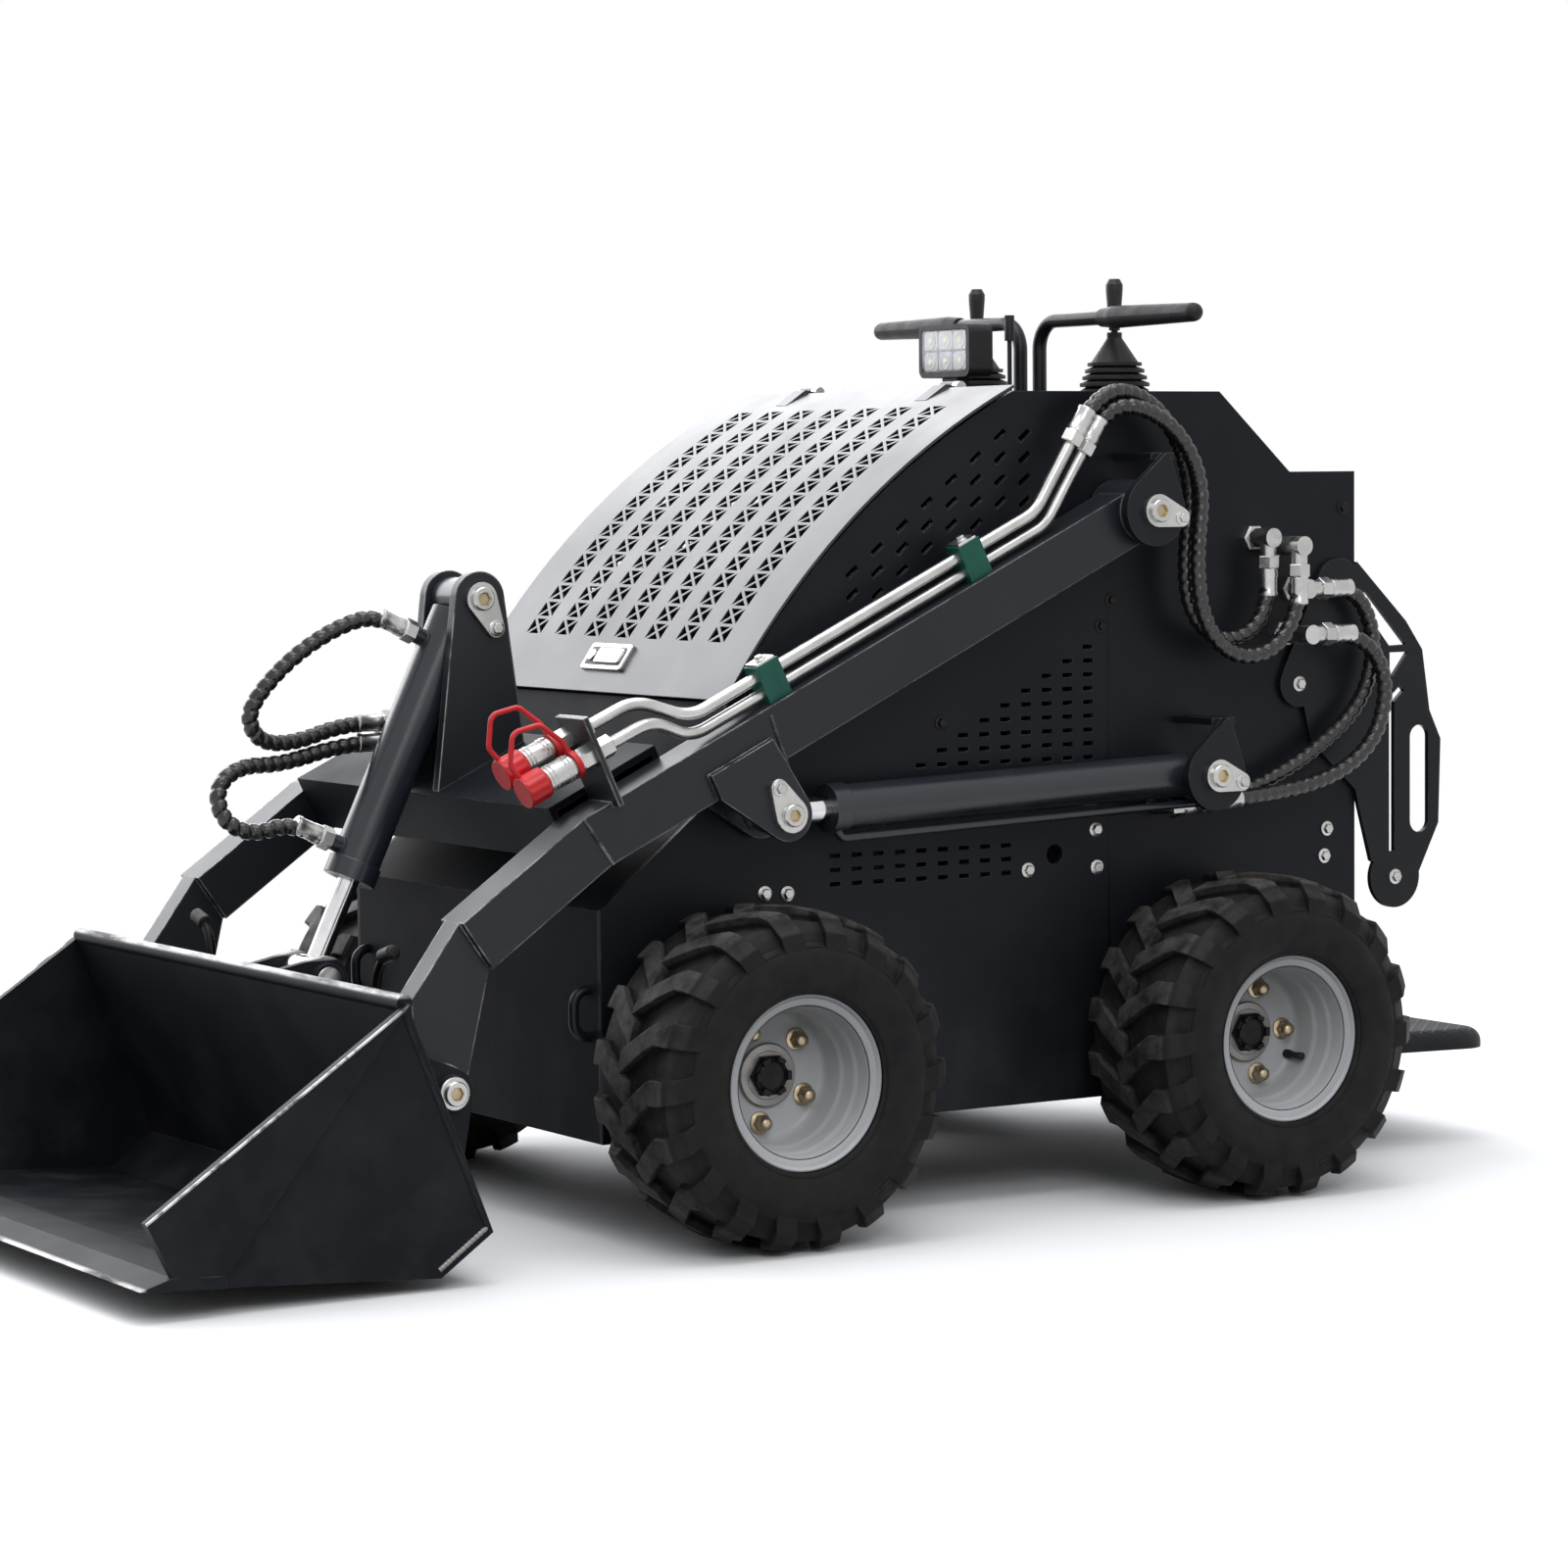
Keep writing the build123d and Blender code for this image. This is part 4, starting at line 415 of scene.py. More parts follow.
def hose_end(name, body, point, way, finishes):
    """The crimped sleeve and the nut at one end of a hose; way points along the hose."""
    piece = Piece()
    place = along(point, way)
    sleeve = [(0.0112, 0.004), (0.0138, 0.005), (0.0138, 0.013), (0.0130, 0.015)]
    sleeve += [(0.0130, 0.034), (0.0138, 0.036), (0.0138, 0.041), (0.0112, 0.043)]
    piece.turned(sleeve, place, finishes["zinc"])
    nut = ((0.0152, -0.016), (0.0165, -0.0145), (0.0165, 0.001), (0.0152, 0.0025))
    piece.turned(nut, place, finishes["zinc"], 6)
    piece.turned(((0.0138, 0.002), (0.0128, 0.006)), place, finishes["zinc"])
    return piece.made(name, body)


def make_hoses(finishes):
    """The six hoses in their spiral guards, with the fittings at each end riding on the body that holds that
    end; the guards stay where they are built.
    """
    for name, (first, second, bend, route) in HOSES.items():
        line = smooth_line(route)
        piece = Piece()
        piece.tube(line, HOSE_GUARD_RADIUS, finishes["hose_rubber"], 20, HOSE_GROOVE, HOSE_PITCH)
        hose = piece.made(f"{name}_guard")
        ends = [
            hose_end(f"{name}_start", first, line[0], line[1] - line[0], finishes),
            hose_end(f"{name}_end", second, line[-1], line[-2] - line[-1], finishes),
        ]
        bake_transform(hose)
        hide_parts(name)


# Node helpers for the materials

class Shader:
    """A material under construction: one Principled shader and the nodes that feed it."""

    def __init__(self, name):
        self.material = bpy.data.materials.new(name)
        self.material.use_nodes = True
        self.tree = self.material.node_tree
        self.base = self.tree.nodes["Principled BSDF"]
        self.place = self.node("ShaderNodeTexCoord").outputs["Object"]

    def node(self, kind, **values):
        """A node with its properties or input values set."""
        made = self.tree.nodes.new(kind)
        for key, value in values.items():
            if key in made.inputs:
                self.feed(made.inputs[key], value)
            else:
                setattr(made, key, value)
        return made

    def feed(self, socket, value):
        """A link where the value is an output, and a plain value otherwise."""
        if isinstance(value, bpy.types.NodeSocket):
            self.tree.links.new(value, socket)
        else:
            socket.default_value = value

    def set(self, **values):
        """Set or link the shader's own sockets; underscores stand for spaces."""
        for key, value in values.items():
            self.feed(self.base.inputs[key.replace("_", " ")], value)

    def noise(self, scale, detail=4.0, roughness=0.55, stretch=None):
        """Values of a noise texture in the object's own space, drawn out along its axes if asked."""
        made = self.node("ShaderNodeTexNoise", Scale=scale, Detail=detail, Roughness=roughness)
        place = self.place
        if stretch:
            place = self.node("ShaderNodeVectorMath", operation="MULTIPLY")
            self.feed(place.inputs[0], self.place)
            place.inputs[1].default_value = stretch
            place = place.outputs["Vector"]
        self.feed(made.inputs["Vector"], place)
        return made.outputs["Fac"]

    def ramp(self, value, *stops):
        """A colour ramp over (position, colour) stops."""
        made = self.node("ShaderNodeValToRGB", Fac=value)
        while len(made.color_ramp.elements) < len(stops):
            made.color_ramp.elements.new(0.5)
        for element, (position, colour) in zip(made.color_ramp.elements, stops):
            element.position = position
            element.color = (*colour, 1.0)
        return made.outputs["Color"]

    def range(self, value, low, high, to_low=0.0, to_high=1.0):
        """A value mapped from one range to another and clamped."""
        made = self.node("ShaderNodeMapRange", Value=value)
        for key, number in (("From Min", low), ("From Max", high), ("To Min", to_low), ("To Max", to_high)):
            made.inputs[key].default_value = number
        return made.outputs["Result"]

    def blend(self, share, first, second):
        """A colour mixed from two."""
        made = self.node("ShaderNodeMix", data_type="RGBA")
        self.feed(made.inputs["Factor"], share)
        self.feed(made.inputs[6], first if isinstance(first, bpy.types.NodeSocket) else (*first, 1.0))
        self.feed(made.inputs[7], second if isinstance(second, bpy.types.NodeSocket) else (*second, 1.0))
        return made.outputs[2]

    def math(self, operation, first, second=0.0):
        """Arithmetic on two values."""
        made = self.node("ShaderNodeMath", operation=operation)
        self.feed(made.inputs[0], first)
        self.feed(made.inputs[1], second)
        return made.outputs[0]

    def times(self, *values):
        """The product of several values."""
        product = values[0]
        for value in values[1:]:
            product = self.math("MULTIPLY", product, value)
        return product

    def axis(self, name):
        """How far along X, Y or Z a point lies."""
        split = self.node("ShaderNodeSeparateXYZ")
        self.feed(split.inputs[0], self.place)
        return split.outputs[name]

    def upward(self):
        """How far a surface faces the sky, from 0 to 1."""
        split = self.node("ShaderNodeSeparateXYZ")
        self.feed(split.inputs[0], self.node("ShaderNodeNewGeometry").outputs["Normal"])
        return self.range(split.outputs["Z"], 0.2, 0.9)

    def near(self, value, middle, width, soft):
        """1 within a band about a value, and 0 outside it."""
        distance = self.math("ABSOLUTE", self.math("SUBTRACT", value, middle))
        return self.range(distance, width / 2 + soft, width / 2)

    def edges(self, radius):
        """1 where the surface turns sharply within a radius, and 0 on the flat."""
        soft = self.node("ShaderNodeBevel", samples=4, Radius=radius).outputs["Normal"]
        flat = self.node("ShaderNodeNewGeometry").outputs["Normal"]
        dot = self.node("ShaderNodeVectorMath", operation="DOT_PRODUCT")
        self.feed(dot.inputs[0], soft)
        self.feed(dot.inputs[1], flat)
        return self.range(dot.outputs["Value"], 0.99, 0.8)

    def wheel_radius(self):
        """How far a point lies from the axle of its wheel."""
        from_middle = self.math("ABSOLUTE", self.math("SUBTRACT", self.axis("X"), WHEELBASE_MIDDLE))
        dx = self.math("SUBTRACT", from_middle, WHEEL_OFFSET)
        dz = self.math("SUBTRACT", self.axis("Z"), AXLE_HEIGHT)
        squares = self.math("ADD", self.times(dx, dx), self.times(dz, dz))
        return self.math("SQRT", squares)

    def relief(self, value, strength, distance, edge_radius=0.0):
        """Bump from a value, over edges rounded by a radius."""
        bump = self.node("ShaderNodeBump", Strength=strength, Distance=distance, Height=value)
        if edge_radius:
            soft = self.node("ShaderNodeBevel", samples=4, Radius=edge_radius).outputs["Normal"]
            self.feed(bump.inputs["Normal"], soft)
        self.feed(self.base.inputs["Normal"], bump.outputs["Normal"])


def coat(shader, dark, light, roughness, shine, wear=0.25):
    """Satin powder coat: cloudy tone, dust on ledges and low down, and rubbed edges."""
    tone = shader.ramp(shader.noise(5.0, 6.0), (0.3, dark), (0.7, light))
    patches = shader.range(shader.noise(11.0), 0.42, 0.72)
    low = shader.range(shader.axis("Z"), 0.5, 0.0)
    dust = shader.times(shader.math("MAXIMUM", low, shader.times(shader.upward(), 0.5)), patches, 0.1)
    dusty = shader.blend(dust, tone, DUST)
    chips = shader.times(shader.edges(0.0022), shader.range(shader.noise(38.0, 5.0), 0.4, 0.62), wear)
    smudges = shader.noise(7.0, 4.0)
    shader.set(Base_Color=shader.blend(chips, dusty, BARE_STEEL))
    shader.set(Roughness=shader.range(smudges, 0.3, 0.7, roughness - 0.04, roughness + 0.05), IOR=1.5)
    shader.set(Specular_IOR_Level=shine)


def orange_peel(shader):
    """The fine waviness of sprayed paint, over softened edges."""
    shader.relief(shader.noise(420.0, 2.0), 0.1, 0.0005, 0.0018)


def paint_over(shader, share, colour):
    """Lay a colour over the paint where a share says so."""
    paint = shader.base.inputs["Base Color"].links[0].from_socket
    shader.set(Base_Color=shader.blend(share, paint, colour))


def powder_coat(name, dark, light, roughness, shine, wear=0.25):
    """A painted steel finish."""
    shader = Shader(name)
    coat(shader, dark, light, roughness, shine, wear)
    orange_peel(shader)
    return shader.material


def wear_and_highlight_coat(name, dark, light, roughness, shine, masks):
    """Paint with scratched bare steel where masks of the shader say so, broken up by streaks: real wear on
    the arms, and painted highlight lines on the bucket and along the cutting edge's lip.
    """
    shader = Shader(name)
    coat(shader, dark, light, roughness, shine)
    orange_peel(shader)
    streaks = shader.noise(26.0, 7.0, 0.65, (1.0, 0.22, 1.0))
    share = shader.times(masks(shader), shader.range(streaks, 0.36, 0.54))
    paint_over(shader, share, SCRATCH_AND_HIGHLIGHT_STEEL)
    shader.set(Metallic=shader.times(share, 0.85))
    return shader.material


def side_coat(name, dark, light, roughness, shine):
    """The side plates' paint, with the seam between their front and rear panels."""
    shader = Shader(name)
    coat(shader, dark, light, roughness, shine)
    orange_peel(shader)
    seam = shader.near(shader.axis("X"), SEAM_X + WHEELBASE_MIDDLE, 0.002, 0.0006)
    below = shader.range(shader.axis("Z"), SEAM_TOP, SEAM_TOP - 0.005)
    paint_over(shader, shader.times(seam, below), (0.002, 0.002, 0.002))
    return shader.material


def step_coat(name, dark, light):
    """The step's paint, with a raised cross-hatched tread on top."""
    shader = Shader(name)
    coat(shader, dark, light, 0.5, 0.15)
    ridges = []
    for sign in (1, -1):
        slant = shader.math("ADD", shader.axis("X"), shader.times(shader.axis("Y"), sign))
        ridges.append(shader.math("SINE", shader.times(slant, 260.0)))
    tread = shader.range(shader.math("MAXIMUM", *ridges), 0.55, 0.9)
    shader.relief(shader.times(tread, shader.upward()), 0.8, 0.002, 0.002)
    return shader.material


def bare_metal(name, colour, roughness, scratch=0.06):
    """Plated or polished metal with faint clouding and fine marks."""
    shader = Shader(name)
    dull = tuple(part * 0.72 for part in colour)
    shader.set(Base_Color=shader.ramp(shader.noise(24.0, 5.0), (0.3, dull), (0.75, colour)), Metallic=1.0)
    shader.set(Roughness=shader.range(shader.noise(60.0, 6.0), 0.3, 0.7, roughness, roughness + 0.16))
    shader.relief(shader.noise(300.0, 4.0), scratch, 0.0005, 0.001)
    return shader.material


def rubber(name, dark, light, roughness, shine=0.25):
    """Moulded rubber with a matt bloom."""
    shader = Shader(name)
    shader.set(Specular_IOR_Level=shine)
    shader.set(Base_Color=shader.ramp(shader.noise(16.0, 6.0), (0.3, dark), (0.72, light)))
    shader.set(Roughness=shader.range(shader.noise(40.0), 0.3, 0.7, roughness - 0.08, roughness + 0.1))
    shader.relief(shader.noise(160.0, 6.0), 0.2, 0.001, 0.0015)
    return shader.material


def tyre_rubber(name):
    """Tyre rubber: dusty, scuffed lug faces, soil in the grooves and fine rings on the sidewall."""
    shader = Shader(name)
    shader.set(Specular_IOR_Level=0.18)
    radius = shader.wheel_radius()
    clean, dusty = (0.005, 0.005, 0.006), (0.012, 0.0115, 0.0115)
    tone = shader.ramp(shader.noise(16.0, 6.0), (0.3, clean), (0.72, dusty))
    scuffed = shader.range(shader.noise(30.0, 7.0, 0.65), 0.35, 0.65)
    faces = shader.times(shader.range(radius, 0.2175, 0.2215), scuffed, 0.75)
    worn = shader.blend(faces, tone, (0.085, 0.08, 0.075))
    between = shader.times(shader.range(radius, 0.2165, 0.211), shader.range(radius, 0.196, 0.204))
    grooves = shader.times(between, scuffed, 0.5)
    shader.set(Base_Color=shader.blend(grooves, worn, (0.042, 0.039, 0.036)))
    shader.set(Roughness=shader.range(shader.noise(40.0), 0.3, 0.7, 0.52, 0.72))
    waves = shader.math("SINE", shader.times(radius, 1400.0))
    rings = shader.times(waves, shader.range(radius, 0.136, 0.132))
    grain = shader.math("ADD", shader.times(rings, 0.3), shader.noise(160.0, 6.0))
    shader.relief(grain, 0.25, 0.0012, 0.003)
    return shader.material


def plastic(name, dark, light, roughness=0.45):
    """Moulded plastic with a fine grain."""
    shader = Shader(name)
    shader.set(Specular_IOR_Level=0.3)
    shader.set(Base_Color=shader.ramp(shader.noise(30.0), (0.3, dark), (0.7, light)))
    shader.set(Roughness=shader.range(shader.noise(80.0), 0.3, 0.7, roughness - 0.06, roughness + 0.08))
    shader.relief(shader.noise(900.0, 2.0), 0.15, 0.0004, 0.0012)
    return shader.material


def lens(name):
    """A clear lamp lens with faint dust."""
    shader = Shader(name)
    shader.set(Base_Color=(0.96, 0.97, 0.98, 1.0), Transmission_Weight=1.0, IOR=1.3)
    shader.set(Roughness=shader.range(shader.noise(70.0, 6.0), 0.4, 0.7, 0.02, 0.12))
    shader.relief(shader.noise(200.0), 0.02, 0.0003)
    return shader.material


def bucket_highlight_lines(shader):
    """Painted highlight lines in bare-steel colour along the top of the bucket's bar and the outer corners of
    its slanting sides.
    """
    top = shader.times(shader.range(shader.axis("Z"), *BUCKET_BAR_HIGHLIGHT), 0.8)
    run = Vector((BUCKET_CHEEK[0] - BUCKET_TOP[0], BUCKET_CHEEK[1] - BUCKET_TOP[1])).normalized()
    start = BUCKET_TOP[0] + WHEELBASE_MIDDLE
    x, z = shader.axis("X"), shader.axis("Z")
    across = shader.math("SUBTRACT", shader.times(z, run.x), shader.times(x, run.y))
    slant = shader.near(across, BUCKET_TOP[1] * run.x - start * run.y, 0.004, 0.001)
    aside = shader.math("ABSOLUTE", shader.axis("Y"))
    outer = shader.range(aside, BUCKET_SIDE - 0.0045, BUCKET_SIDE - 0.0035)
    return shader.math("MAXIMUM", top, shader.times(slant, outer))


def lip_wear_and_highlight(shader):
    """Bare steel along the lip of the cutting edge: wear, and also a painted highlight line."""
    return shader.range(shader.axis("X"), *LIP_WEAR_AND_HIGHLIGHT)


def arm_wear(shader):
    """Bare steel along the arms' edges, most towards the bucket."""
    return shader.times(shader.range(shader.axis("X"), 0.1, 0.6, 0.45, 1.0), shader.edges(0.004))


def make_materials():
    """A finish for each of the record's material slots, and those that the details need."""
    deep, dark, light = (0.006, 0.007, 0.0095), (0.0105, 0.0125, 0.0165), (0.0155, 0.018, 0.023)
    slate, pale_slate = (0.016, 0.02, 0.026), (0.022, 0.027, 0.034)
    silver, pale_silver = (0.44, 0.45, 0.46), (0.54, 0.55, 0.56)
    soot, pale_soot = (0.007, 0.007, 0.0075), (0.013, 0.013, 0.0135)
    return {
        "body_paint": powder_coat("body_paint", deep, dark, 0.36, 0.2),
        "tub_paint": powder_coat("tub_paint", deep, dark, 0.5, 0.05),
        "hood_paint": powder_coat("hood_paint", dark, light, 0.3, 0.5),
        "side_paint": side_coat("side_paint", deep, dark, 0.38, 0.14),
        "arm_paint": wear_and_highlight_coat("arm_paint", dark, light, 0.36, 0.3, arm_wear),
        "cylinder_paint": powder_coat("cylinder_paint", slate, pale_slate, 0.26, 0.5),
        # The bucket's paint carries painted highlight lines in bare-steel colour
        "bucket_paint": wear_and_highlight_coat("bucket_paint", deep, dark, 0.46, 0.12, bucket_highlight_lines),
        "step_paint": step_coat("step_paint", (0.011, 0.012, 0.014), (0.017, 0.018, 0.021)),
        "bar_paint": powder_coat("bar_paint", deep, dark, 0.32, 0.25),
        "rim_paint": powder_coat("rim_paint", silver, pale_silver, 0.32, 0.4, 0.1),
        # The cutting edge's lip is worn bare, and its bare-steel line is also a painted highlight
        "edge_steel": wear_and_highlight_coat("edge_steel", deep, dark, 0.5, 0.12, lip_wear_and_highlight),
        "zinc": bare_metal("zinc", (0.58, 0.58, 0.57), 0.22),
        "chrome": bare_metal("chrome", (0.86, 0.86, 0.88), 0.07, 0.02),
        "brass": bare_metal("brass", (0.5, 0.41, 0.27), 0.24),
        "hub_steel": bare_metal("hub_steel", (0.3, 0.29, 0.28), 0.4),
        "engine": bare_metal("engine", (0.16, 0.16, 0.17), 0.5),
        "black_steel": bare_metal("black_steel", (0.026, 0.025, 0.025), 0.38),
        "tyre": tyre_rubber("tyre"),
        "rubber": rubber("rubber", (0.01, 0.01, 0.011), (0.018, 0.018, 0.019), 0.48),
        "hose_rubber": rubber("hose_rubber", soot, pale_soot, 0.26, 0.6),
        "cap_rubber": rubber("cap_rubber", (0.52, 0.012, 0.016), (0.66, 0.02, 0.025), 0.42, 0.4),
        "clamp_plastic": plastic("clamp_plastic", (0.006, 0.075, 0.055), (0.01, 0.105, 0.075), 0.4),
        "black_plastic": plastic("black_plastic", (0.011, 0.011, 0.012), (0.018, 0.018, 0.02)),
        "tank_plastic": plastic("tank_plastic", (0.02, 0.02, 0.022), (0.03, 0.03, 0.032)),
        "led": plastic("led", (0.75, 0.66, 0.36), (0.85, 0.76, 0.45), 0.3),
        "reflector": plastic("reflector", (0.42, 0.43, 0.44), (0.52, 0.53, 0.54), 0.25),
        "lens": lens("lens"),
    }


def dress_nodes(finishes):
    """Each CAD node takes the finish of its slot, except for a few with a paint of their own."""
    slots = {part["node"]: part["material_slot"] for part in frame["record"]["subparts"]}
    slots["side_plates"] = "side_paint"
    slots["hood"] = "hood_paint"
    slots.update(dict.fromkeys(("chassis_tub", "arm_crossbeam"), "tub_paint"))
    slots["tie_down_loops"] = "bar_paint"
    slots.update(dict.fromkeys(("lift_barrel_left", "lift_barrel_right", "tilt_barrel"), "cylinder_paint"))
    for node, slot in slots.items():
        mesh = NODES[node].data
        mesh.materials.clear()
        mesh.materials.append(finishes[slot])


# Details

def make_rim(end, name, side, finishes):
    """A pressed rim with a rolled lip, a stepped well, a dished disc and the hub behind it."""
    place = on_side(WHEEL_X[end], DISC_Y, AXLE_HEIGHT, side)
    piece = Piece()
    profile = [(0.1172, 0.1165), (0.1182, 0.1192), (0.1172, 0.1218), (0.1152, 0.1224), (0.1138, 0.121)]
    profile += [(0.1122, 0.1176), (0.1035, 0.1166), (0.1005, 0.1148), (0.0994, 0.112), (0.0992, 0.094)]
    profile += [(0.0978, 0.0905), (0.0956, 0.088), (0.0948, 0.085), (0.0946, 0.066), (0.0932, 0.0625)]
    profile += [(0.091, 0.06), (0.0902, 0.057), (0.0898, 0.032), (0.0882, 0.0262), (0.0845, 0.0222)]
    profile += [(0.079, DISC_RISE), (0.049, DISC_RISE), (0.046, 0.0185), (0.02, 0.0185), (0.02, 0.0135)]
    profile += [(0.076, 0.0135), (0.0835, 0.017), (0.0945, 0.03), (0.096, 0.034), (0.096, -0.048)]
    profile += [(0.1, -0.0545), (0.1125, -0.0565), (0.114, -0.0612), (0.1165, -0.062), (0.1176, -0.0595)]
    profile += [(0.117, -0.0562), (0.101, -0.0556), (0.101, 0.1156)]
    piece.turned(profile, place, finishes["rim_paint"], 80, loop=True)
    hub = ((0.02, -0.019), (0.066, -0.019), (0.066, 0.0), (0.05, 0.0134), (0.02, 0.0134))
    piece.turned(hub, place, finishes["rim_paint"], 40, loop=True)
    piece.turned(((0.02, -0.073), (0.02, 0.033), (0.018, 0.034)), place, finishes["rim_paint"], 32)
    rim = piece.made(f"pressed_rim_{end}_{name}", f"wheel_{end}_{name}")
    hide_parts(f"rim_{end}_{name}")


def make_wheel(end, name, side, finishes):
    """What stands on one wheel: nuts, hub nut, valve and rounded sidewalls."""
    piece = Piece()
    dish = on_side(WHEEL_X[end], DISC_Y, AXLE_HEIGHT, side)
    disc = dish @ Matrix.Translation((0, 0, DISC_RISE))
    for number in range(LUG_NUTS):
        turn = LUG_NUT_TURN[end] + 2 * math.pi * number / LUG_NUTS
        step = Vector((LUG_NUT_CIRCLE * math.cos(turn), LUG_NUT_CIRCLE * math.sin(turn), 0))
        place = disc @ Matrix.Translation(step)
        piece.turned(((0.0155, 0), (0.0155, 0.002), (0.0125, 0.004)), place, finishes["brass"])
        piece.turned(((0.012, 0.003), (0.012, 0.011), (0.0105, 0.0125)), place, finishes["brass"], 6)
        dome = ((0.0103, 0.011), (0.0103, 0.015), (0.0085, 0.0195), (0.005, 0.022), (0, 0.0226))
        piece.turned(dome, place, finishes["brass"], 16)
    collar = ((0.043, 0), (0.043, 0.003), (0.0415, 0.0045), (0.033, 0.005), (0.032, 0.006))
    piece.turned(collar, disc, finishes["hub_steel"], 40)
    hexagon = ((0.03, 0.004), (0.03, 0.012), (0.0275, 0.0145), (0.021, 0.015))
    piece.turned(hexagon, disc, finishes["black_steel"], 6)
    hub = [(0.0215, 0.012), (0.0215, 0.017), (0.0185, 0.019), (0.0185, 0.0165)]
    hub += [(0.004, 0.0165), (0, 0.0155)]
    piece.turned(hub, disc, finishes["black_steel"], 28)
    for number in range(6):
        turn = Matrix.Rotation(math.pi * number / 3, 4, "Z") @ Matrix.Translation((0.0235, 0, 0))
        tooth = rounded_box(0.007, 0.0125, 0.001, 2)
        piece.raised(tooth, disc @ turn, 0.012, 0.0225, 0.0008, finishes["black_steel"])
    turn = VALVE_TURN[end]
    valve = disc @ Matrix.Translation((VALVE_CIRCLE * math.cos(turn), VALVE_CIRCLE * math.sin(turn), 0))
    stem = ((0.0065, 0), (0.0065, 0.009), (0.0045, 0.013), (0.0045, 0.03), (0.0055, 0.031), (0.0055, 0.037))
    piece.turned(stem + ((0, 0.0385),), valve, finishes["rubber"], 14)
    middle = WHEEL_Y - DISC_Y
    wall = ((0.118, 0.0945), (0.122, 0.0985), (0.13, 0.1028), (0.1425, 0.1066), (0.156, 0.1082))
    wall += ((0.169, 0.1074), (0.179, 0.1044), (0.186, 0.0994), (0.1905, 0.0925), (0.192, 0.084))
    for way in (1, -1):
        outline = [(radius, middle + way * reach) for radius, reach in wall]
        piece.turned(outline, dish, finishes["tyre"], 96, ends=False)
        for radius, reach in ((0.1235, 0.0996), (0.1815, 0.1032)):
            piece.ring(radius, middle + way * reach, 0.0011, dish, finishes["tyre"], 96)
    piece.made(f"wheel_fittings_{end}_{name}", f"wheel_{end}_{name}")


def make_body_bolts(finishes):
    """The bolts of the side plates, guards and keepers, the hose ports' nuts and the grips' round ends."""
    piece = Piece()
    for side in (1, -1):
        for x, z in BRIGHT_BOLTS:
            piece.bolt(on_side(x, BODY_SIDE, z, side), BOLT_SIZE, finishes["zinc"])
        for x, z in DARK_BOLTS:
            piece.bolt(on_side(x, BODY_SIDE, z, side), DARK_BOLT_SIZE, finishes["black_steel"])
        for x, z in GUARD_BOLTS:
            piece.bolt(on_side(x, GUARD_SIDE, z, side), GUARD_BOLT_SIZE, finishes["zinc"])
        for pin in (ARM_PIVOT, LIFT_BASE_PIN):
            place = on_side(pin[0] + KEEPER_REACH[0], KEEPER_SIDE, pin[1] + KEEPER_REACH[1], side)
            piece.bolt(place, BOLT_SIZE, finishes["zinc"])
            piece.cup_screw(on_side(pin[0], KEEPER_SIDE, pin[1], side), PIN_SCREW_SIZE, finishes)
    nut = ((0.0195, 0), (0.0195, 0.009), (0.0175, 0.011), (0.0145, 0.0115))
    for x, z in HOSE_PORTS:
        piece.turned(nut, on_side(x, BODY_SIDE, z), finishes["zinc"], 6)
    for side in (1, -1):
        x, y, z = GRIP_TIP
        dome = [(GRIP_RADIUS * math.cos(turn), GRIP_RADIUS * math.sin(turn)) for turn in (0, 0.4, 0.8, 1.15)]
        piece.turned(dome + [(0, GRIP_RADIUS)], on_side(x, y, z, side), finishes["rubber"])
    piece.made("body_bolts", "chassis")


def add_bead_line(piece, ends, y, side, bead, steps, finish):
    """A straight bead between two places on an upright face: a weld, and on the bucket also a bare-steel bead
    that is a painted reflection line; a bead has a radius, ripples and their pitch.
    """
    low, high = [on_side(x, y, z, side).translation for x, z in ends]
    line = [low.lerp(high, number / steps) for number in range(steps + 1)]
    radius, ripple, pitch = bead
    piece.tube(line, radius, finish, 10, ripple, pitch)


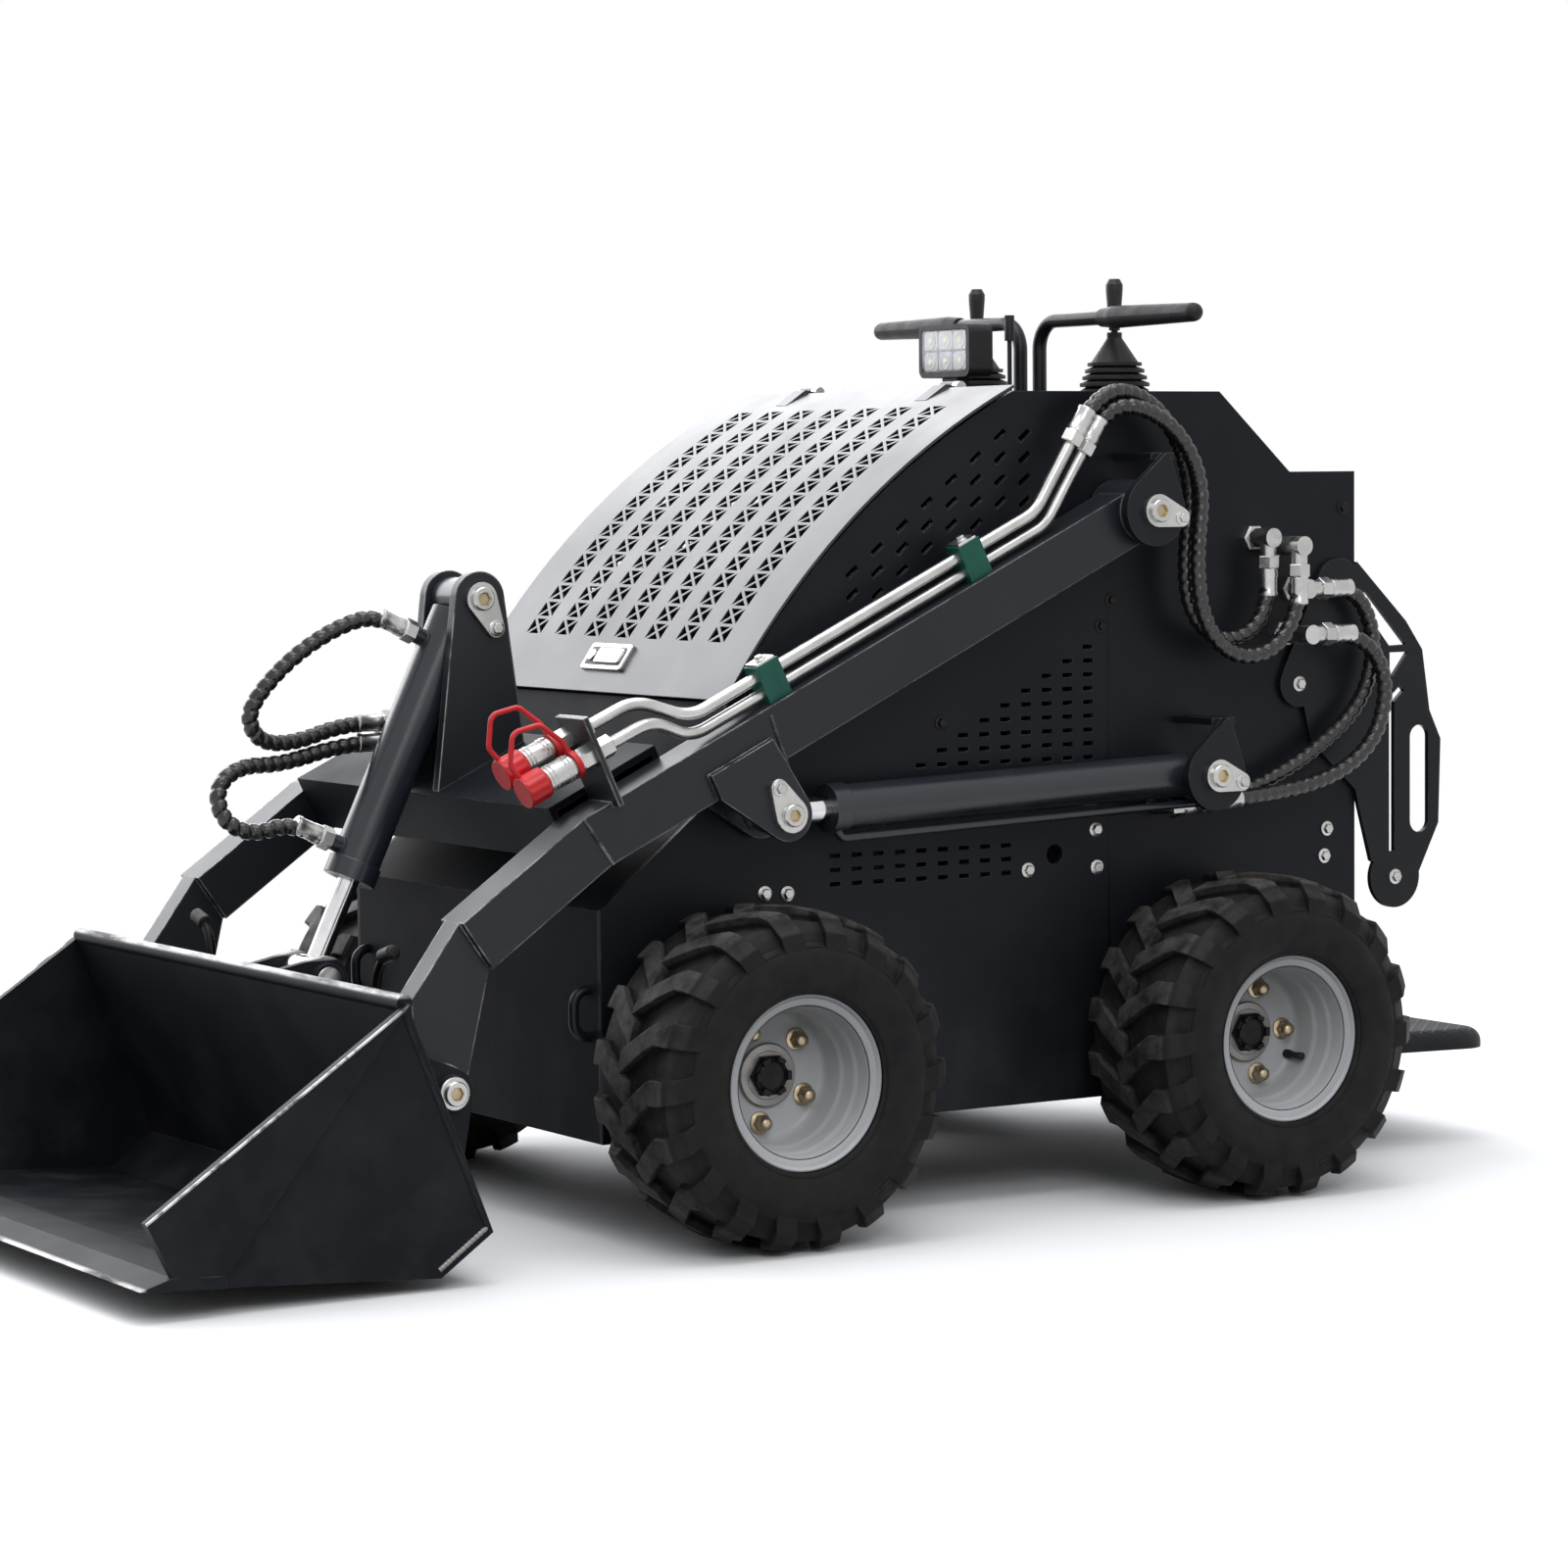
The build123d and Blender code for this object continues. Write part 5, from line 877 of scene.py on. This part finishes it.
def make_arm_details(finishes):
    """The rod pins' keepers, weld beads, clamp tops, pipe nuts and coupler rings of the lift frame."""
    piece = Piece()
    for side in (1, -1):
        place = on_side(LIFT_ROD_PIN[0], GUSSET_SIDE, LIFT_ROD_PIN[1], side)
        keeper = teardrop(0.0245, 0.013, ROD_KEEPER_REACH)
        piece.raised(keeper, place, 0.0001, ROD_KEEPER_RISE, 0.0012, finishes["zinc"])
        step = Matrix.Translation((*ROD_KEEPER_REACH, ROD_KEEPER_RISE))
        piece.bolt(place @ step, BOLT_SIZE, finishes["zinc"])
        piece.cup_screw(place @ Matrix.Translation((0, 0, ROD_KEEPER_RISE)), ROD_SCREW_SIZE, finishes)
        for ends in ARM_WELDS:
            add_bead_line(piece, ends, ARM_SIDE, side, ARM_BEAD, 60, finishes["arm_paint"])
    tower = on_side(TOWER_PIN[0] + TOWER_KEEPER_REACH[0], TOWER_SIDE, TOWER_PIN[1] + TOWER_KEEPER_REACH[1])
    piece.bolt(tower, TOWER_BOLT_SIZE, finishes["zinc"])
    piece.cup_screw(on_side(TOWER_PIN[0], TOWER_SIDE, TOWER_PIN[1]), PIN_SCREW_SIZE, finishes)
    for x in CLAMP_PLACES:
        top = on_arm(x, PIPE_Y, CLAMP_TOP)
        piece.raised(rounded_box(0.032, 0.03, 0.003), top, 0, CLAMP_PLATE, 0.0006, finishes["zinc"])
        piece.bolt(top @ Matrix.Translation((0, 0, CLAMP_PLATE)), CLAMP_BOLT_SIZE, finishes["zinc"])
    for before, end in PIPE_ENDS:
        way = (Vector(end) - Vector(before)).normalized()
        place = along(end, way)
        nut = ((0.0135, -0.026), (0.0155, -0.0245), (0.0155, -0.005), (0.0175, -0.004), (0.0175, -0.0005))
        piece.turned(nut, place, finishes["zinc"], 6)
        front = place @ Matrix.Translation((0, 0, COUPLER_SHEET))
        for height in (0.0385, 0.044, 0.064, 0.0695):
            piece.ring(0.0178, height, 0.0013, front, finishes["zinc"], 32)
        ribs = []
        for height, rise in ((0.0785, -0.0006), (0.0795, 0.0004), (0.1075, 0.0004), (0.1085, -0.0006)):
            outline = []
            for number in range(72):
                turn = 2 * math.pi * number / 72
                radius = 0.0211 + rise + 0.0006 * math.cos(12 * turn)
                outline.append(front @ Vector((radius * math.cos(turn), radius * math.sin(turn), height)))
            ribs.append(outline)
        piece.skin(ribs, finishes["cap_rubber"])
    piece.made("arm_details", "lift_frame")


def make_bucket_details(finishes):
    """The hitch levers, the pivot caps, the bucket's weld bead and a bare-steel bead that is a painted
    reflection line.
    """
    piece = Piece()
    for side in (1, -1):
        face = on_side(BUCKET_PIVOT[0], EAR_SIDE, BUCKET_PIVOT[1], side)
        cap = ((0.0215, 0), (0.0215, 0.002), (0.02, 0.003), (0.0165, 0.003))
        piece.turned(cap, face, finishes["zinc"], 32)
        piece.cup_screw(face @ Matrix.Translation((0, 0, 0.002)), PIN_SCREW_SIZE, finishes)
        # The first bead, in bare steel, is a painted reflection line; the second is a weld in the bucket's
        # paint
        for ends, finish in zip(BUCKET_WELD_AND_REFLECTION_BEADS, ("hub_steel", "bucket_paint")):
            add_bead_line(piece, ends, BUCKET_BEAD_SIDE, side, BUCKET_BEAD, 80, finishes[finish])
        rod = on_side(TILT_ROD_PIN[0], TILT_EAR_SIDE, TILT_ROD_PIN[1], side)
        piece.turned(((0.0185, 0), (0.0185, 0.002), (0.0165, 0.003), (0, 0.003)), rod, finishes["zinc"])
        lever = smooth_line([on_side(x, y, z, side).translation for x, y, z in HITCH_LEVER])
        piece.tube(lever, 0.0065, finishes["black_steel"], 12)
        grip = along(lever[-1], lever[-1] - lever[-2])
        handle = ((0.0085, -0.03), (0.0105, -0.028), (0.0105, 0.002), (0.007, 0.006), (0, 0.007))
        piece.turned(handle, grip, finishes["rubber"], 16)
    piece.made("bucket_details", "bucket")


def make_lamp(finishes):
    """Six reflectors with their light sources behind the lamp's lens."""
    piece = Piece()
    point = Vector((LAMP_FACE[0] + WHEELBASE_MIDDLE, 0, LAMP_FACE[1]))
    place = placement(point, Vector((0, 1, 0)), Vector((0, 0, 1)), Vector((1, 0, 0)))
    width, height = LAMP_OPENING
    window = rounded_box(width - 0.001, height - 0.001, 0.004)
    piece.raised(window, place, 0, LAMP_PLATE, 0.0002, finishes["engine"])
    cell = rounded_box(0.0355, 0.0275, 0.006)
    for column in (-1, 0, 1):
        for row in (-1, 1):
            step = Vector((column * LAMP_PITCH[0], row * LAMP_PITCH[1], LAMP_PLATE))
            middle = place @ Matrix.Translation(step)
            piece.raised(cell, middle, 0, 0.0022, 0.0006, finishes["reflector"])
            bowl = ((0.0035, 0.0023), (0.009, 0.0026), (0.0118, 0.0034), (0.0126, 0.0034), (0.013, 0.002))
            piece.turned(bowl, middle, finishes["reflector"], 28)
            source = ((0.0046, 0.0022), (0.0046, 0.0032), (0.0034, 0.0036), (0, 0.0038))
            piece.turned(source, middle, finishes["led"], 16)
    piece.raised(window, place, 0.0052, 0.006, 0.0003, finishes["lens"])
    piece.made("lamp_details", "chassis")


def make_latch(finishes):
    """The hood latch's bezel, paddle and lock."""
    piece = Piece()
    way = Vector((math.cos(HOOD_LATCH_ANGLE), 0, math.sin(HOOD_LATCH_ANGLE)))
    point = Vector((HOOD_CENTRE[0] + WHEELBASE_MIDDLE, 0, HOOD_CENTRE[1])) + way * HOOD_LATCH_RADIUS
    place = placement(point, Vector((0, 1, 0)), way.cross(Vector((0, 1, 0))), way)
    piece.raised(rounded_box(0.116, 0.043, 0.005), place, -0.002, 0.0035, 0.0012, finishes["zinc"])
    piece.raised(rounded_box(0.1, 0.03, 0.003), place, 0.0034, 0.0039, 0.0003, finishes["black_plastic"])
    paddle = place @ Matrix.Translation((0.012, 0, 0))
    piece.raised(rounded_box(0.07, 0.024, 0.003), paddle, 0.0036, 0.007, 0.001, finishes["zinc"])
    lock = place @ Matrix.Translation((-0.037, 0, 0.0036))
    piece.turned(((0.009, 0), (0.009, 0.003), (0.008, 0.0038), (0.0015, 0.0034)), lock, finishes["chrome"])
    piece.made("latch_details", "hood_lid")


# Stage and light

def background_rays(tree):
    """1 for rays that show the background: those from the camera, mirrors and clear glass."""
    path = tree.nodes.new("ShaderNodeLightPath")
    seen = path.outputs["Is Camera Ray"]
    for key in ("Is Glossy Ray", "Is Transmission Ray"):
        either = tree.nodes.new("ShaderNodeMath")
        either.operation = "MAXIMUM"
        tree.links.new(seen, either.inputs[0])
        tree.links.new(path.outputs[key], either.inputs[1])
        seen = either.outputs[0]
    return seen


def make_floor():
    """A pale floor that fades out and, like the ground outdoors, throws little light back up."""
    bpy.ops.mesh.primitive_plane_add(size=FLOOR_SIZE)
    floor = bpy.context.object
    floor.name = "floor"
    paper = Shader("floor_paper")
    paper.set(Base_Color=paper.blend(background_rays(paper.tree), FLOOR_DIM, FLOOR_PALE), Roughness=0.9)
    paper.relief(paper.noise(3.0), 0.02, 0.001)
    reach = paper.node("ShaderNodeVectorMath", operation="LENGTH")
    paper.feed(reach.inputs[0], paper.place)
    paper.set(Alpha=paper.range(reach.outputs["Value"], *FLOOR_FADE, 1.0, 0.0))
    floor.data.materials.append(paper.material)


def make_world():
    """A white background, and a soft sky that is brighter overhead for the light it throws."""
    world = bpy.data.worlds.new("studio")
    bpy.context.scene.world = world
    world.use_nodes = True
    tree = world.node_tree
    tree.nodes.clear()
    way = tree.nodes.new("ShaderNodeTexCoord")
    split = tree.nodes.new("ShaderNodeSeparateXYZ")
    level = tree.nodes.new("ShaderNodeMapRange")
    level.interpolation_type = "SMOOTHSTEP"
    for key, number in zip(("From Min", "From Max", "To Min", "To Max"), (*SKY_SPAN, SKY_DARK, SKY_BRIGHT)):
        level.inputs[key].default_value = number
    sky = tree.nodes.new("ShaderNodeBackground")
    sky.inputs["Color"].default_value = (*SKY_COLOUR, 1.0)
    white = tree.nodes.new("ShaderNodeBackground")
    white.inputs["Color"].default_value = (1.0, 1.0, 1.0, 1.0)
    choose = tree.nodes.new("ShaderNodeMixShader")
    out = tree.nodes.new("ShaderNodeOutputWorld")
    links = tree.links
    links.new(way.outputs["Generated"], split.inputs[0])
    links.new(split.outputs["Z"], level.inputs["Value"])
    links.new(level.outputs["Result"], sky.inputs["Strength"])
    links.new(background_rays(tree), choose.inputs["Fac"])
    links.new(sky.outputs[0], choose.inputs[1])
    links.new(white.outputs[0], choose.inputs[2])
    links.new(choose.outputs[0], out.inputs["Surface"])


def add_area(name, place, aim, size, power):
    """A square soft light that points at a place."""
    data = bpy.data.lights.new(name, "AREA")
    data.size = size
    data.energy = power
    data.color = LIGHT_COLOUR
    light = bpy.data.objects.new(name, data)
    light.location = place
    light.rotation_euler = (Vector(aim) - Vector(place)).to_track_quat("-Z", "Y").to_euler()
    bpy.context.scene.collection.objects.link(light)


def main():
    """The whole scene, from the camera to the lights."""
    bpy.context.scene.view_settings.view_transform = "Standard"
    make_camera()
    finishes = make_materials()
    make_hoses(finishes)
    dress_nodes(finishes)
    for end in ("front", "rear"):
        for name, side in (("left", 1), ("right", -1)):
            make_rim(end, name, side, finishes)
            make_wheel(end, name, side, finishes)
    make_body_bolts(finishes)
    make_arm_details(finishes)
    make_bucket_details(finishes)
    make_lamp(finishes)
    make_latch(finishes)
    make_floor()
    make_world()
    for name, light in LIGHTS.items():
        add_area(name, *light)


main()
